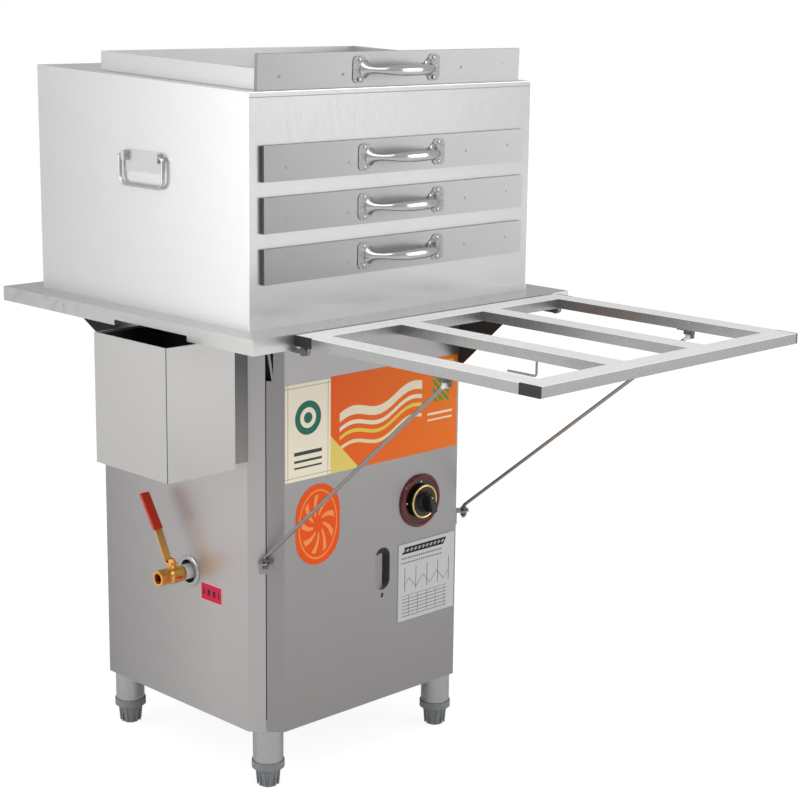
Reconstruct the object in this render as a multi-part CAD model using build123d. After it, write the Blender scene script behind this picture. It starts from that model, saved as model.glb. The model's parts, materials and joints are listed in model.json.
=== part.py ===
"""Rice noodle roll steamer: a gas-fired cabinet on four legs carries a folded
worktop, a steam box with three drawers, a spare drawer lying on the box, a
fold-down rack on two struts and a side water box.

Frame: +X to the right along the drawer fronts, +Y from the front to the back,
+Z up.  The origin lies on the floor under the middle of the overall outline.
All sizes are millimetres.
"""
from math import atan2, cos, degrees, pi, sin, sqrt
import os

from build123d import *

# ---------------------------------------------------------------- driving sizes
sheet = 1.5              # stainless sheet of the cabinet and the worktop
thin_sheet = 1.2         # stainless sheet of the box, drawers and water box
seat_gap = 0.3           # clearance of a removable or moving piece on its seat
run_gap = 0.05           # radial clearance of a pin or stem in its hole

worktop_w = 706
worktop_d = 657
worktop_z = 800          # working height
apron_h = 24
apron_lip = 12           # inward return along the apron's lower edge
apron_notch_h = 9        # how much of the apron is cut away over the water box

cabinet_w = 483
cabinet_d = 468
cabinet_z = 106          # height of the cabinet's underside
corner_cut = 42          # each leg of the 45 degree corner bevel
louvre_rows = 4          # slots in the back panel that let the fumes out
louvre_w = cabinet_w / 6
louvre_h = 9
louvre_pitch = 34
louvre_below = 200       # highest row under the apron
overhang_left = 125
overhang_front = 122
panel_seam = 1.6         # open joint between two panels on a bevel
seam_gape_w = 12         # the left front seam gapes below the apron
seam_gape_h = 80

box_w = 620
box_d = 540
box_h = 354
box_inset_left = 42      # worktop left showing beside the steam box
box_inset_front = 59
box_back_rise = 19       # the top slopes up this much from front to back

drawer_count = 3
drawer_margin = 24       # box front showing beside a drawer
drawer_h = 54
drawer_pitch = 77
drawer_low = 67.5        # underside of the lowest front plate above the worktop
drawer_proud = 7         # depth of the folded front plate
slot_lap = 5             # how far a front plate laps its slot, sides and top
tray_d = 396
tray_h = 31
tray_side_gap = 2.5
runner_drop = 0.1        # runners lie this much below the slot's lower edge
runner_t = 1.5

spare_setback = 8        # the spare drawer lies this far behind the box front

pull_w = 190             # drawer pull, over its two base plates
pull_plate_w = 27
pull_plate_h = 42
pull_plate_t = 1.2
pull_reach = 34          # grip centre in front of the drawer
pull_grip_r = 6          # grip, front to back
pull_grip_tall = 8.5     # grip, up and down
pull_neck_r = 4.8        # thinnest place behind the grip
pull_flare_r = 14.5      # mouth of the trumpet neck
pull_bow = 5             # extra reach of the grip at its middle

bail_w = 118
bail_h = 54
bail_wire_r = 4
bail_y = 252             # centre of the bail, from the box front
bail_z = 243             # pivot height above the worktop
bail_plate_h = 34
bail_pin_r = 2.5

leg_r = 25.5
leg_inset = 43
foot_h = 46
foot_top_r = 21
foot_low_r = 15
collar_h = 12
collar_r = 27.5
foot_travel = 20
foot_stem_r = 8

rack_w = 593
rack_d = 485
rack_left = 77           # from the worktop's left edge
rack_gap = 4
rack_drop = 1            # top of the rack below the worktop
tube_w = 38
tube_h = 16
tube_wall = 1.5
cap_t = 3                # head of a plastic end cap
rail_count = 4
hinge_back = 15          # hinge axis in front of the worktop edge
hinge_drop = 25          # hinge axis below the worktop surface
hinge_pin_r = 4
ear_t = 3
ear_r = 7.5              # low enough under the tube to swing clear of the apron

strut_r = 3
strut_ball_r = 6
strut_ball_out = 300     # ball centre in front of the worktop edge
strut_ball_drop = 30     # ball centre below the worktop surface
strut_tail = 22
strut_eye_z = 410
keeper_r = 1.8
keeper_drop = 27
keeper_reach = 56
strut_eye_off = 14       # tail axis in front of the corner bevel
eye_t = 3

gusset_h = 112
gusset_back = 86         # rear gussets, in front of the cabinet's back
gusset_front = 47        # front right gusset, behind the cabinet's front

water_w = 165            # water box, out from the cabinet side
water_d = 184
water_h = 211
water_gap = 6            # rim of the water box below the apron
spacer_w = 31            # recessed channel between the water box and the cabinet
spacer_inset = 6
water_front = 34         # front wall behind the cabinet's front face

boiler_side_gap = 41.5   # tank to the cabinet's left and right sides
boiler_end_gap = 49      # tank to the cabinet's front and back
boiler_z0 = 392
boiler_wall = 2
dome_r = 150             # fire dome pressed up into the boiler
dome_h = 60
outlet_r = 60            # steam outlet through the worktop
outlet_wall = 2
outlet_rise = 14

burner_r = 95
burner_z = 250
burner_h = 42
mixer_r = 12             # mixing tube of the burner
burner_bearer_w = 40
post = 25                # corner angle inside the cabinet
post_t = 3
post_inset = corner_cut / 2 + 14
bearer_seat = 30         # ledge of the angles under the boiler
bearer_leg = 25
boiler_clear = 6         # boiler's roof under the worktop
tap_out = 22             # gas way behind the front panel
tap_union = 34           # lower union under the knob's axis
tap_side = 28            # side union's end beside the knob's axis
supply_out = 26          # rising supply pipe beside the side union
mix_rise = 18            # mixing tube above the burner's underside

valve_y = 194            # drain valve behind the cabinet's front face
valve_z = 347
valve_reach = 66
valve_start = 16         # inner end of the valve, out from the cabinet side
valve_r = 14.5
drain_bore_r = 7
drain_socket_r = 9
drain_pipe_r = 8.5
stub_r = 13              # pale sleeve on the drain pipe outside the cabinet
escutcheon_r = 27
lever_out = 36           # lever stem axis, out from the cabinet side
lever_rise = 104
lever_run = 73
lever_t = 2.5
lever_w = 14
lever_stem_r = 3.5

knob_inset = 134         # gas knob, from the cabinet's right side
knob_z = 445
bezel_r = 47
bezel_t = 6
knob_skirt_r = 27
knob_skirt_t = 9
knob_r = 18
knob_t = 20              # grip, in front of the skirt
knob_turn = -14          # the grip points a little left of straight up
knob_grip = 12
knob_push = 1.5
knob_stem_r = 4

recess_x = 262           # pressed finger recess in the front panel
recess_z = 340
recess_w = 38
recess_h = 78
recess_deep = 24
recess_slot_w = 4.5      # small slot under the finger recess
recess_slot_h = 8

# ---------------------------------------------------------------- placing
water_proud = water_w - overhang_left
total_w = worktop_w + water_proud
total_d = worktop_d + rack_gap + rack_d
wt_l = -total_w / 2 + water_proud
wt_r = wt_l + worktop_w
wt_b = total_d / 2
wt_f = wt_b - worktop_d
under_top = worktop_z - sheet
apron_z = worktop_z - apron_h

cab_l = wt_l + overhang_left
cab_r = cab_l + cabinet_w
cab_f = wt_f + overhang_front
cab_b = cab_f + cabinet_d
boiler_w = cabinet_w - 2 * boiler_side_gap
boiler_d = cabinet_d - 2 * boiler_end_gap
cab_x = (cab_l + cab_r) / 2
knob_x = cab_r - knob_inset
cab_y = (cab_f + cab_b) / 2

box_l = wt_l + box_inset_left
box_r = box_l + box_w
box_f = wt_f + box_inset_front
box_b = box_f + box_d
box_x = (box_l + box_r) / 2
box_top = worktop_z + box_h
box_slope = degrees(atan2(box_back_rise, box_d))
drawer_w = box_w - 2 * drawer_margin

water_l = cab_l - water_w
water_r = cab_l - spacer_w
water_f = cab_f + water_front
water_b = water_f + water_d
water_top = apron_z - water_gap
water_low = water_top - water_h

rack_l = wt_l + rack_left
rack_r = rack_l + rack_w
rack_b = wt_f - rack_gap
rack_f = rack_b - rack_d
rack_top = worktop_z - rack_drop
rack_low = rack_top - tube_h
hinge_y = wt_f - hinge_back
hinge_z = worktop_z - hinge_drop
ball_y = wt_f - strut_ball_out
ball_z = worktop_z - strut_ball_drop


# ---------------------------------------------------------------- helpers
def slab(x0, x1, y0, y1, z0, z1):
    """A rectangular block between two corners."""
    size = Box(x1 - x0, y1 - y0, z1 - z0)
    return Pos((x0 + x1) / 2, (y0 + y1) / 2, (z0 + z1) / 2) * size


def round_bar(start, end, radius):
    """A cylinder from one point to another."""
    run = Vector(*end) - Vector(*start)
    return Solid.make_cylinder(radius, run.length, Plane(origin=start, z_dir=run))


def round_tube(start, end, outer, inner):
    """A pipe open at both ends."""
    return round_bar(start, end, outer) - round_bar(start, end, inner)


def turned(start, direction, outline):
    """A solid of revolution: outline holds (distance along, radius) pairs."""
    last = outline[-1][0]
    points = [(0, outline[0][0])] + [(r, d) for d, r in outline] + [(0, last)]
    face = make_face(Polyline(*points, close=True))
    solid = revolve(Plane.XZ * face, Axis.Z)
    return Plane(origin=start, z_dir=direction) * solid


def bent_bar(points, radius, bend):
    """A round bar along straight runs joined by tangent arcs."""
    path = FilletPolyline(*points, radius=bend)
    start = Plane(origin=path @ 0, z_dir=path % 0)
    return sweep(start * Circle(radius), path=path)


def bent_pipe(points, outer, inner, bend):
    """A pipe along straight runs joined by tangent arcs, open at both ends."""
    return bent_bar(points, outer, bend) - bent_bar(points, inner, bend)


def upright(outline, z0, z1):
    """A prism standing on a plan outline."""
    return Pos(0, 0, z0) * extrude(make_face(Polyline(*outline, close=True)), z1 - z0)


def rounded_plate(x, y, z, width, height, thickness, radius):
    """A plate in the XZ plane with round corners; its back face lies at y."""
    outline = RectangleRounded(width, height, radius)
    return Plane(origin=(x, y, z), x_dir=(1, 0, 0), z_dir=(0, -1, 0)) * extrude(outline, thickness)


# ---------------------------------------------------------------- worktop
def make_worktop():
    """One folded sheet: flat top, four aprons with an inward return, the steam
    outlet hole and the apron cut short over the water box."""
    top = slab(wt_l, wt_r, wt_f, wt_b, apron_z, worktop_z)
    top -= slab(wt_l + sheet, wt_r - sheet, wt_f + sheet, wt_b - sheet,
                apron_z + sheet, under_top)
    top -= slab(wt_l + apron_lip, wt_r - apron_lip, wt_f + apron_lip, wt_b - apron_lip,
                apron_z, apron_z + sheet)
    front = cab_f + water_front - seat_gap
    top -= slab(wt_l, wt_l + apron_lip, front, front + water_d + 2 * seat_gap,
                apron_z, apron_z + apron_notch_h)
    hole = outlet_r + run_gap
    top -= round_bar((cab_x, cab_y, under_top), (cab_x, cab_y, worktop_z), hole)
    return top


def make_gussets():
    """Triangular plates that carry the worktop's overhang at the left rear
    and on the right."""
    plates = []
    depth = gusset_h
    clear = apron_lip + 6
    rear_y = cab_b - gusset_back
    corner = [(wt_l + clear, under_top), (cab_l, under_top), (cab_l, under_top - depth)]
    plates.append(gusset(corner, rear_y))
    for y in (cab_f + gusset_front, rear_y):
        corner = [(wt_r - clear, under_top), (cab_r, under_top), (cab_r, under_top - depth)]
        plates.append(gusset(corner, y))
    return plates


def gusset(corner, y):
    """One triangular plate at a given depth, from (x, z) corners."""
    points = [(x, 0, z) for x, z in corner]
    face = make_face(Polyline(*points, close=True))
    plate = extrude(face, 2, dir=(0, 1, 0))
    return Pos(0, y, 0) * plate


# ---------------------------------------------------------------- cabinet
def cabinet_plan(inset):
    """The cabinet's outline in plan, with its four bevelled corners."""
    c = corner_cut - inset * (2 - sqrt(2))
    x0, x1, y0, y1 = cab_l + inset, cab_r - inset, cab_f + inset, cab_b - inset
    return [(x0 + c, y0), (x1 - c, y0), (x1, y0 + c), (x1, y1 - c),
            (x1 - c, y1), (x0 + c, y1), (x0, y1 - c), (x0, y0 + c)]


def panel_ring():
    """The cabinet's skin as one ring, before it is cut into its panels."""
    ring = upright(cabinet_plan(0), cabinet_z, apron_z)
    return ring - upright(cabinet_plan(sheet), cabinet_z, apron_z)


def bevel_cut(x, y, turn):
    """A thin upright slice across one bevel, that parts two panels."""
    slice_ = Box(panel_seam, 6 * sheet, worktop_z)
    return Pos(x, y, worktop_z / 2) * Rot(0, 0, turn) * slice_


def make_panels():
    """Left, right, front and back panels, each bent half way round its bevels."""
    ring = panel_ring()
    half = corner_cut / 2
    for x, y, turn in ((cab_l + half, cab_f + half, -45), (cab_r - half, cab_f + half, 45),
                       (cab_r - half, cab_b - half, -45), (cab_l + half, cab_b - half, 45)):
        ring -= bevel_cut(x, y, turn)
    parts = sorted(ring.solids(), key=lambda s: s.center().X)
    left, right = parts[0], parts[3]
    front, back = sorted(parts[1:3], key=lambda s: s.center().Y)
    return left, right, front, back


def make_front_panel(front):
    """Front panel: hole for the gas knob's stem, the oval finger recess with
    its tongue, a small slot under it and the gaping seam."""
    x, z = knob_x, knob_z
    front -= round_bar((x, cab_f, z), (x, cab_f + sheet, z), 6)
    rx, rz = cab_l + recess_x, recess_z
    oval = SlotOverall(recess_h, recess_w, rotation=90)
    facing = Plane(origin=(rx, cab_f, rz), x_dir=(1, 0, 0), z_dir=(0, -1, 0))
    front -= facing * extrude(oval, -sheet)
    cup = facing * extrude(oval, -recess_deep)
    inner = SlotOverall(recess_h - 2 * sheet, recess_w - 2 * sheet, rotation=90)
    cup -= facing * extrude(inner, -(recess_deep - sheet))
    gap_x, gap_y = cab_l + corner_cut / 2, cab_f + corner_cut / 2
    front -= Pos(gap_x, gap_y, apron_z) * Rot(0, 0, -45) * seam_opening()
    slot = Pos(rx, cab_f, rz - recess_h / 2 - recess_slot_h) * Rot(0, 20, 0)
    front -= slot * Box(recess_slot_w, 2 * sheet, recess_slot_h)
    reach = recess_w * 0.6
    leaf = Pos(rx - recess_w / 2 + reach / 2, cab_f + 3, rz - recess_w / 6) * Rot(0, 0, 12)
    leaf = leaf * Box(reach, sheet, recess_h - recess_w / 3)
    tongue = leaf & (facing * extrude(oval, -recess_deep))
    return front + cup + tongue


def seam_opening():
    """Two wedges at the top of the left front seam, where the panel gapes, with
    a slanting sliver of sheet left between them."""
    w, h = seam_gape_w, seam_gape_h
    sliver = w / 5
    left = [(0, -h / 4), (w - sliver, -h), (0, -h)]
    right = [(sliver, 0), (w, 0), (w, -0.9 * h)]
    wedges = None
    for corners in (left, right):
        outline = Polyline(*[(x, -w, z) for x, z in corners], close=True)
        wedge = extrude(make_face(outline), 2 * w, dir=(0, 1, 0))
        wedges = wedge if wedges is None else wedges + wedge
    return wedges


def make_left_panel(left):
    """Left panel: hole for the drain pipe and the water box's pipe."""
    y = cab_f + valve_y
    left -= round_bar((cab_l, y, valve_z), (cab_l + sheet, y, valve_z), escutcheon_r - 6)
    wy, wz = water_pipe_place()
    left -= round_bar((cab_l, wy, wz), (cab_l + sheet, wy, wz), 14)
    return left


def make_back_panel(back):
    """Back panel: rows of louvre slots that let the burner's fumes out, and a
    hole for the gas inlet."""
    for row in range(louvre_rows):
        for column in (-1, 0, 1):
            x = cab_x + column * louvre_w * 1.4
            z = apron_z - louvre_below - row * louvre_pitch
            back -= slab(x - louvre_w / 2, x + louvre_w / 2, cab_b - sheet, cab_b,
                         z, z + louvre_h)
    x, z = gas_inlet_place()
    back -= round_bar((x, cab_b - sheet, z), (x, cab_b, z), 11)
    return back


def make_floor_pan():
    """Tray-shaped floor with an air hole under the burner."""
    gap = sheet + seat_gap
    lip = 20
    pan = upright(cabinet_plan(gap), cabinet_z, cabinet_z + lip)
    pan -= upright(cabinet_plan(gap + sheet), cabinet_z + sheet, cabinet_z + lip)
    for x, y in leg_places():
        pan -= round_bar((x, y, cabinet_z), (x, y, cabinet_z + sheet), foot_stem_r + 1)
    hole = round_bar((cab_x, cab_y, cabinet_z), (cab_x, cab_y, cabinet_z + sheet), burner_r)
    return pan - hole


def leg_places():
    """Centres of the four legs in plan."""
    return [(cab_l + leg_inset, cab_f + leg_inset), (cab_r - leg_inset, cab_f + leg_inset),
            (cab_r - leg_inset, cab_b - leg_inset), (cab_l + leg_inset, cab_b - leg_inset)]


def make_posts():
    """Corner angles that stand on the floor pan and carry the worktop."""
    posts = []
    reach = post_inset
    for sx, x in ((1, cab_l + reach), (-1, cab_r - reach)):
        for sy, y in ((1, cab_f + reach), (-1, cab_b - reach)):
            plan = [(x, y), (x + sx * post, y), (x + sx * post, y + sy * post_t),
                    (x + sx * post_t, y + sy * post_t), (x + sx * post_t, y + sy * post),
                    (x, y + sy * post)]
            posts.append(upright(plan, cabinet_z + sheet, under_top))
    return posts


def make_legs():
    """Round leg tubes with a plug plate tapped for the foot's stem."""
    legs = []
    low = foot_h
    for x, y in leg_places():
        leg = round_tube((x, y, low), (x, y, cabinet_z), leg_r, leg_r - 1.5)
        top_plug = round_tube((x, y, cabinet_z - 5), (x, y, cabinet_z), leg_r - 1.5, foot_stem_r + 1)
        low_plug = round_tube((x, y, low), (x, y, low + 12), leg_r - 1.5, foot_stem_r + run_gap)
        legs.append(leg + top_plug + low_plug)
    return legs


def make_foot(x, y):
    """One levelling foot: tapered ribbed body, collar and screw stem."""
    low, top = foot_low_r, foot_top_r
    body_h = foot_h - collar_h - seat_gap
    outline = [(0, low - 2), (2, low), (body_h * 0.45, low + 2), (body_h - 4, top - 1),
               (body_h, top), (body_h, collar_r), (body_h + collar_h, collar_r),
               (body_h + collar_h, foot_stem_r), (foot_h + 34, foot_stem_r)]
    foot = turned((x, y, 0), (0, 0, 1), outline)
    ribs = 12
    for i in range(ribs):
        a = 2 * pi * i / ribs
        rib_r = (low + top) / 2 + 2.2
        foot += round_bar((x + rib_r * cos(a) * 0.86, y + rib_r * sin(a) * 0.86, 3),
                          (x + rib_r * cos(a), y + rib_r * sin(a), body_h), 1.6)
    return foot


# ---------------------------------------------------------------- boiler and gas
def make_boiler():
    """Closed water tank with a fire dome pressed up into its floor and a round
    steam mouth in its roof."""
    x0, x1 = cab_x - boiler_w / 2, cab_x + boiler_w / 2
    y0, y1 = cab_y - boiler_d / 2, cab_y + boiler_d / 2
    t = boiler_wall
    tank = slab(x0, x1, y0, y1, boiler_z0, under_top - boiler_clear)
    cavity = slab(x0 + t, x1 - t, y0 + t, y1 - t, boiler_z0 + t, under_top - boiler_clear - t)
    shell = tank - (cavity - fire_dome(dome_r, dome_h)) - fire_dome(dome_r - 2 * t, dome_h - t)
    mouth = (cab_x, cab_y, under_top - boiler_clear - t), (cab_x, cab_y, under_top - boiler_clear)
    shell -= round_bar(*mouth, outlet_r - outlet_wall)
    dx, dy, dz = drain_start()
    shell -= round_bar((dx, dy, boiler_z0), (dx, dy, boiler_z0 + t), drain_pipe_r)
    wy, wz = water_pipe_place()
    shell -= round_bar((x0, wy, wz), (x0 + t, wy, wz), 8)
    return shell


def fire_dome(radius, height):
    """The space of the dome over the burner, up to a radius and a height."""
    return turned((cab_x, cab_y, boiler_z0), (0, 0, 1),
                  [(0, radius), (height * 0.6, radius * 0.8), (height, radius * 0.3)])


def make_boiler_bearers():
    """Two angle bearers between the corner posts that carry the boiler."""
    bearers = []
    reach = post_inset
    w, leg, t = bearer_seat, bearer_leg, post_t
    for sy, y in ((1, cab_f + reach + post_t), (-1, cab_b - reach - post_t)):
        plan = [(y, boiler_z0), (y + sy * w, boiler_z0), (y + sy * w, boiler_z0 - t),
                (y + sy * t, boiler_z0 - t), (y + sy * t, boiler_z0 - leg), (y, boiler_z0 - leg)]
        face = make_face(Polyline(*[(0, a, b) for a, b in plan], close=True))
        bar = extrude(face, cabinet_w - 2 * reach - 2 * post_t - 2 * seat_gap, dir=(1, 0, 0))
        bearers.append(Pos(cab_l + reach + post_t + seat_gap, 0, 0) * bar)
    return bearers


def make_outlet():
    """Flanged neck that carries the steam up through the worktop."""
    z0 = under_top - boiler_clear
    neck = round_tube((cab_x, cab_y, z0), (cab_x, cab_y, worktop_z + outlet_rise),
                      outlet_r, outlet_r - outlet_wall)
    flange = round_tube((cab_x, cab_y, worktop_z), (cab_x, cab_y, worktop_z + 2),
                        outlet_r + 12, outlet_r - outlet_wall)
    return neck + flange


def make_burner():
    """Cast ring burner: a hollow ring with two circles of gas ports, a mixing
    tube to the front and three feet on its bearer."""
    z = burner_z
    ring = turned((cab_x, cab_y, z), (0, 0, 1),
                  [(0, burner_r - 8), (6, burner_r), (burner_h - 10, burner_r),
                   (burner_h, burner_r - 14)])
    ring -= turned((cab_x, cab_y, z), (0, 0, 1),
                   [(0, 38), (burner_h, 46)])
    for radius, count in ((burner_r - 22, 20), (burner_r - 36, 14)):
        for i in range(count):
            a = 2 * pi * i / count
            x, y = cab_x + radius * cos(a), cab_y + radius * sin(a)
            ring -= round_bar((x, y, z + burner_h - 6), (x, y, z + burner_h), 2)
    mix_z = z + mix_rise
    reach = (cab_x, cab_y - burner_r + 10, mix_z), (cab_x, burner_mouth_y(), mix_z)
    return ring + round_bar(*reach, mixer_r)


def burner_mouth_y():
    """Depth of the mixing tube's open end."""
    return cab_y - burner_r - 38


def make_burner_bearer():
    """Cross bar with two upstands that holds the burner over the air hole."""
    z0 = cabinet_z + sheet
    half, t = burner_bearer_w / 2, 4
    y0, y1 = cab_y - half, cab_y + half
    inner = burner_r - 12
    bar = slab(cab_x - inner, cab_x + inner, y0, y1, burner_z - t, burner_z)
    for side in (-1, 1):
        upstand = sorted((cab_x + side * inner, cab_x + side * (inner + t)))
        bar += slab(upstand[0], upstand[1], y0, y1, z0, burner_z)
        foot = sorted((cab_x + side * inner, cab_x + side * (burner_r + 14)))
        bar += slab(foot[0], foot[1], y0, y1, z0, z0 + t)
    hole = round_bar((cab_x, cab_y, burner_z - t), (cab_x, cab_y, burner_z), 14)
    return bar - hole


def gas_inlet_place():
    """Where the gas pipe leaves the back panel, as x and z."""
    return knob_x + tap_side + supply_out, cabinet_z + 90


def make_gas_valve():
    """Gas tap behind the front panel: block, stem guide and two unions."""
    x, z = knob_x, knob_z
    y0 = cab_f + sheet
    body = slab(x - 16, x + 16, y0 + 6, y0 + 38, z - 20, z + 16)
    body += round_bar((x, y0, z), (x, y0 + 6, z), 14)
    way = y0 + tap_out
    body += round_bar((x, way, z - tap_union), (x, way, z - 20), 9)
    body += round_bar((x + 16, way, z - 4), (x + tap_side, way, z - 4), 9)
    body -= round_bar((x, y0, z), (x, y0 + 24, z), knob_stem_r + run_gap)
    return body


def make_supply_pipe():
    """Gas pipe from the inlet nipple on the back to the tap."""
    x, z = gas_inlet_place()
    tap_x, tap_z = knob_x + tap_side, knob_z - 4
    tap_y = cab_f + sheet + tap_out
    points = [(x, cab_b + 28, z), (x, tap_y, z), (x, tap_y, tap_z), (tap_x, tap_y, tap_z)]
    pipe = bent_pipe(points, 6, 4.5, 16)
    nipple = turned((x, cab_b, z), (0, 1, 0), [(0, 11), (8, 11), (8, 7), (28, 7)])
    nipple -= round_bar((x, cab_b, z), (x, cab_b + 28, z), 6)
    return pipe + nipple


def make_burner_pipe():
    """Gas pipe from the tap down to the injector at the burner's mouth."""
    x, y = knob_x, cab_f + sheet + tap_out
    z_mix = burner_z + mix_rise
    front_y = burner_mouth_y()
    points = [(x, y, knob_z - tap_union), (x, y, z_mix), (cab_x, y, z_mix), (cab_x, front_y, z_mix)]
    pipe = bent_pipe(points, 5, 3.5, 16)
    injector = round_tube((cab_x, front_y - 10, z_mix), (cab_x, front_y, z_mix), 9, 5)
    return pipe + injector


def make_igniter():
    """Spark electrode in its ceramic sleeve, clipped beside the burner."""
    x, y = cab_x + burner_r + 16, cab_y - 40
    z0 = cabinet_z + sheet
    rod = round_bar((x, y, z0), (x, y, burner_z + 30), 4)
    tip = bent_bar([(x, y, burner_z + 30), (x, y, burner_z + burner_h + 8),
                    (x - 26, y, burner_z + burner_h + 8)], 1.2, 6)
    foot = round_bar((x, y, z0), (x, y, z0 + 4), 9)
    return rod + tip + foot


# ---------------------------------------------------------------- water side
def make_water_box():
    """Open-topped side tank from which the boiler is filled."""
    tank = slab(water_l, water_r, water_f, water_b, water_low, water_top)
    t = thin_sheet
    tank -= slab(water_l + t, water_r - t, water_f + t, water_b - t, water_low + t, water_top)
    hem = 4
    rim = slab(water_l, water_r, water_f, water_b, water_top - hem, water_top)
    rim -= slab(water_l + 2 * t, water_r - 2 * t, water_f + 2 * t, water_b - 2 * t,
                water_top - hem, water_top)
    y, z = water_pipe_place()
    return tank + rim - round_bar((water_r - t, y, z), (water_r, y, z), 8)


def make_water_spacer():
    """Channel that stands the water box off the cabinet's warm side."""
    i, t = spacer_inset, thin_sheet
    y0, y1 = water_f + i, water_b - i
    z0, z1 = water_low + i, apron_z + apron_notch_h
    channel = slab(water_r, cab_l, y0, y1, z0, z1)
    channel -= slab(water_r + t, cab_l - t, y0 + t, y1 - t, z0, z1)
    y, z = water_pipe_place()
    return channel - round_bar((water_r, y, z), (cab_l, y, z), 14)


def water_pipe_place():
    """Where the filling pipe passes the cabinet side, as y and z."""
    return water_f + water_d / 2, water_low + 28


def make_water_pipe():
    """Short pipe with a nut on each side, from the water box to the boiler."""
    y, z = water_pipe_place()
    x1 = cab_x - boiler_w / 2
    t = thin_sheet
    pipe = round_tube((water_r - 12, y, z), (x1 + 6, y, z), 8 - run_gap, 6.5)
    nut = round_tube((water_r - t - 6, y, z), (water_r - t, y, z), 13, 8 - run_gap)
    inner_nut = round_tube((cab_l + sheet, y, z), (cab_l + sheet + 6, y, z), 18, 8 - run_gap)
    return pipe + nut + inner_nut


def drain_start():
    """Where the drain leaves the boiler's floor."""
    return cab_l + 62, cab_f + valve_y, boiler_z0


def make_drain_pipe():
    """Drain pipe from the boiler's floor, out through the cabinet side."""
    x, y, z = drain_start()
    end = cab_l - valve_start
    points = [(x, y, z + boiler_wall), (x, y, valve_z), (end, y, valve_z)]
    pipe = bent_pipe(points, drain_pipe_r - run_gap, drain_bore_r, 20)
    sleeve = round_tube((cab_l + 8, y, valve_z), (end, y, valve_z), stub_r,
                        drain_pipe_r - run_gap)
    return pipe + sleeve


def make_escutcheon():
    """Pressed ring that trims the drain hole in the cabinet side."""
    y = cab_f + valve_y
    ring = turned((cab_l, y, valve_z), (-1, 0, 0),
                  [(0, escutcheon_r), (1.5, escutcheon_r), (3, escutcheon_r - 2.5),
                   (3, escutcheon_r - 5)])
    return ring - round_bar((cab_l, y, valve_z), (cab_l - 4, y, valve_z), escutcheon_r - 7)


def make_drain_valve():
    """Brass ball valve: barrel, hex mouth with its socket and stem boss."""
    y = cab_f + valve_y
    x0 = cab_l - valve_start
    end = cab_l - valve_reach
    mouth_w = 16
    body_w = valve_reach - valve_start - mouth_w
    body = turned((x0, y, valve_z), (-1, 0, 0),
                  [(0, 13), (3, 14), (body_w * 0.3, 14.5), (body_w * 0.75, 14.5),
                   (body_w * 0.85, 12.5), (body_w, 12)])
    mouth = Plane(origin=(end + mouth_w, y, valve_z), x_dir=(0, 0, 1), z_dir=(-1, 0, 0))
    body += mouth * extrude(RegularPolygon(valve_r, 6), mouth_w)
    stem_x = cab_l - lever_out
    boss_z = valve_z + 19
    body += round_bar((stem_x, y, valve_z), (stem_x, y, boss_z), 7)
    body -= round_bar((x0, y, valve_z), (end, y, valve_z), drain_bore_r)
    body -= round_bar((end + mouth_w - 2, y, valve_z), (end, y, valve_z), drain_socket_r)
    body -= round_bar((stem_x, y, valve_z), (stem_x, y, boss_z), lever_stem_r + run_gap)
    return body


def make_drain_lever():
    """Lever with its stem and dome nut.  Closed at rest: it points to the back
    and rises; a quarter turn to the left side opens the valve."""
    x, y = cab_l - lever_out, cab_f + valve_y
    z = valve_z + 19 + seat_gap
    stem = round_bar((x, y, valve_z + 9), (x, y, z), lever_stem_r)
    hub = slab(x - lever_w / 2, x + lever_w / 2, y - 8, y + 8, z, z + lever_t)
    knee_y, knee_z = y + 0.45 * lever_run, z + 0.42 * lever_rise
    tip_y, tip_z = y + lever_run, z + lever_rise
    centre = [(y, z), (y + 10, z), (knee_y, knee_z), (tip_y, tip_z)]
    blade = strip(centre, lever_t, x - lever_w / 2, lever_w)
    nut = turned((x, y, z + lever_t), (0, 0, 1), [(0, 6.5), (4, 6.5), (7, 4.5), (8.5, 1.5)])
    return stem + hub + blade + nut


def strip(centre, thickness, x0, width):
    """A bent strip: a (y, z) centre line thickened upwards and extruded in x."""
    face = make_face(thick_outline(centre, thickness))
    return Pos(x0, 0, 0) * extrude(face, width, dir=(1, 0, 0))


def thick_outline(centre, t):
    """The closed outline of a centre line given a thickness on its upper left."""
    upper = []
    for i, (a, b) in enumerate(centre):
        before = centre[max(i - 1, 0)]
        after = centre[min(i + 1, len(centre) - 1)]
        turn = atan2(after[1] - before[1], after[0] - before[0])
        upper.append((a - t * sin(turn), b + t * cos(turn)))
    points = [(0, a, b) for a, b in centre] + [(0, a, b) for a, b in reversed(upper)]
    return Polyline(*points, close=True)


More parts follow.
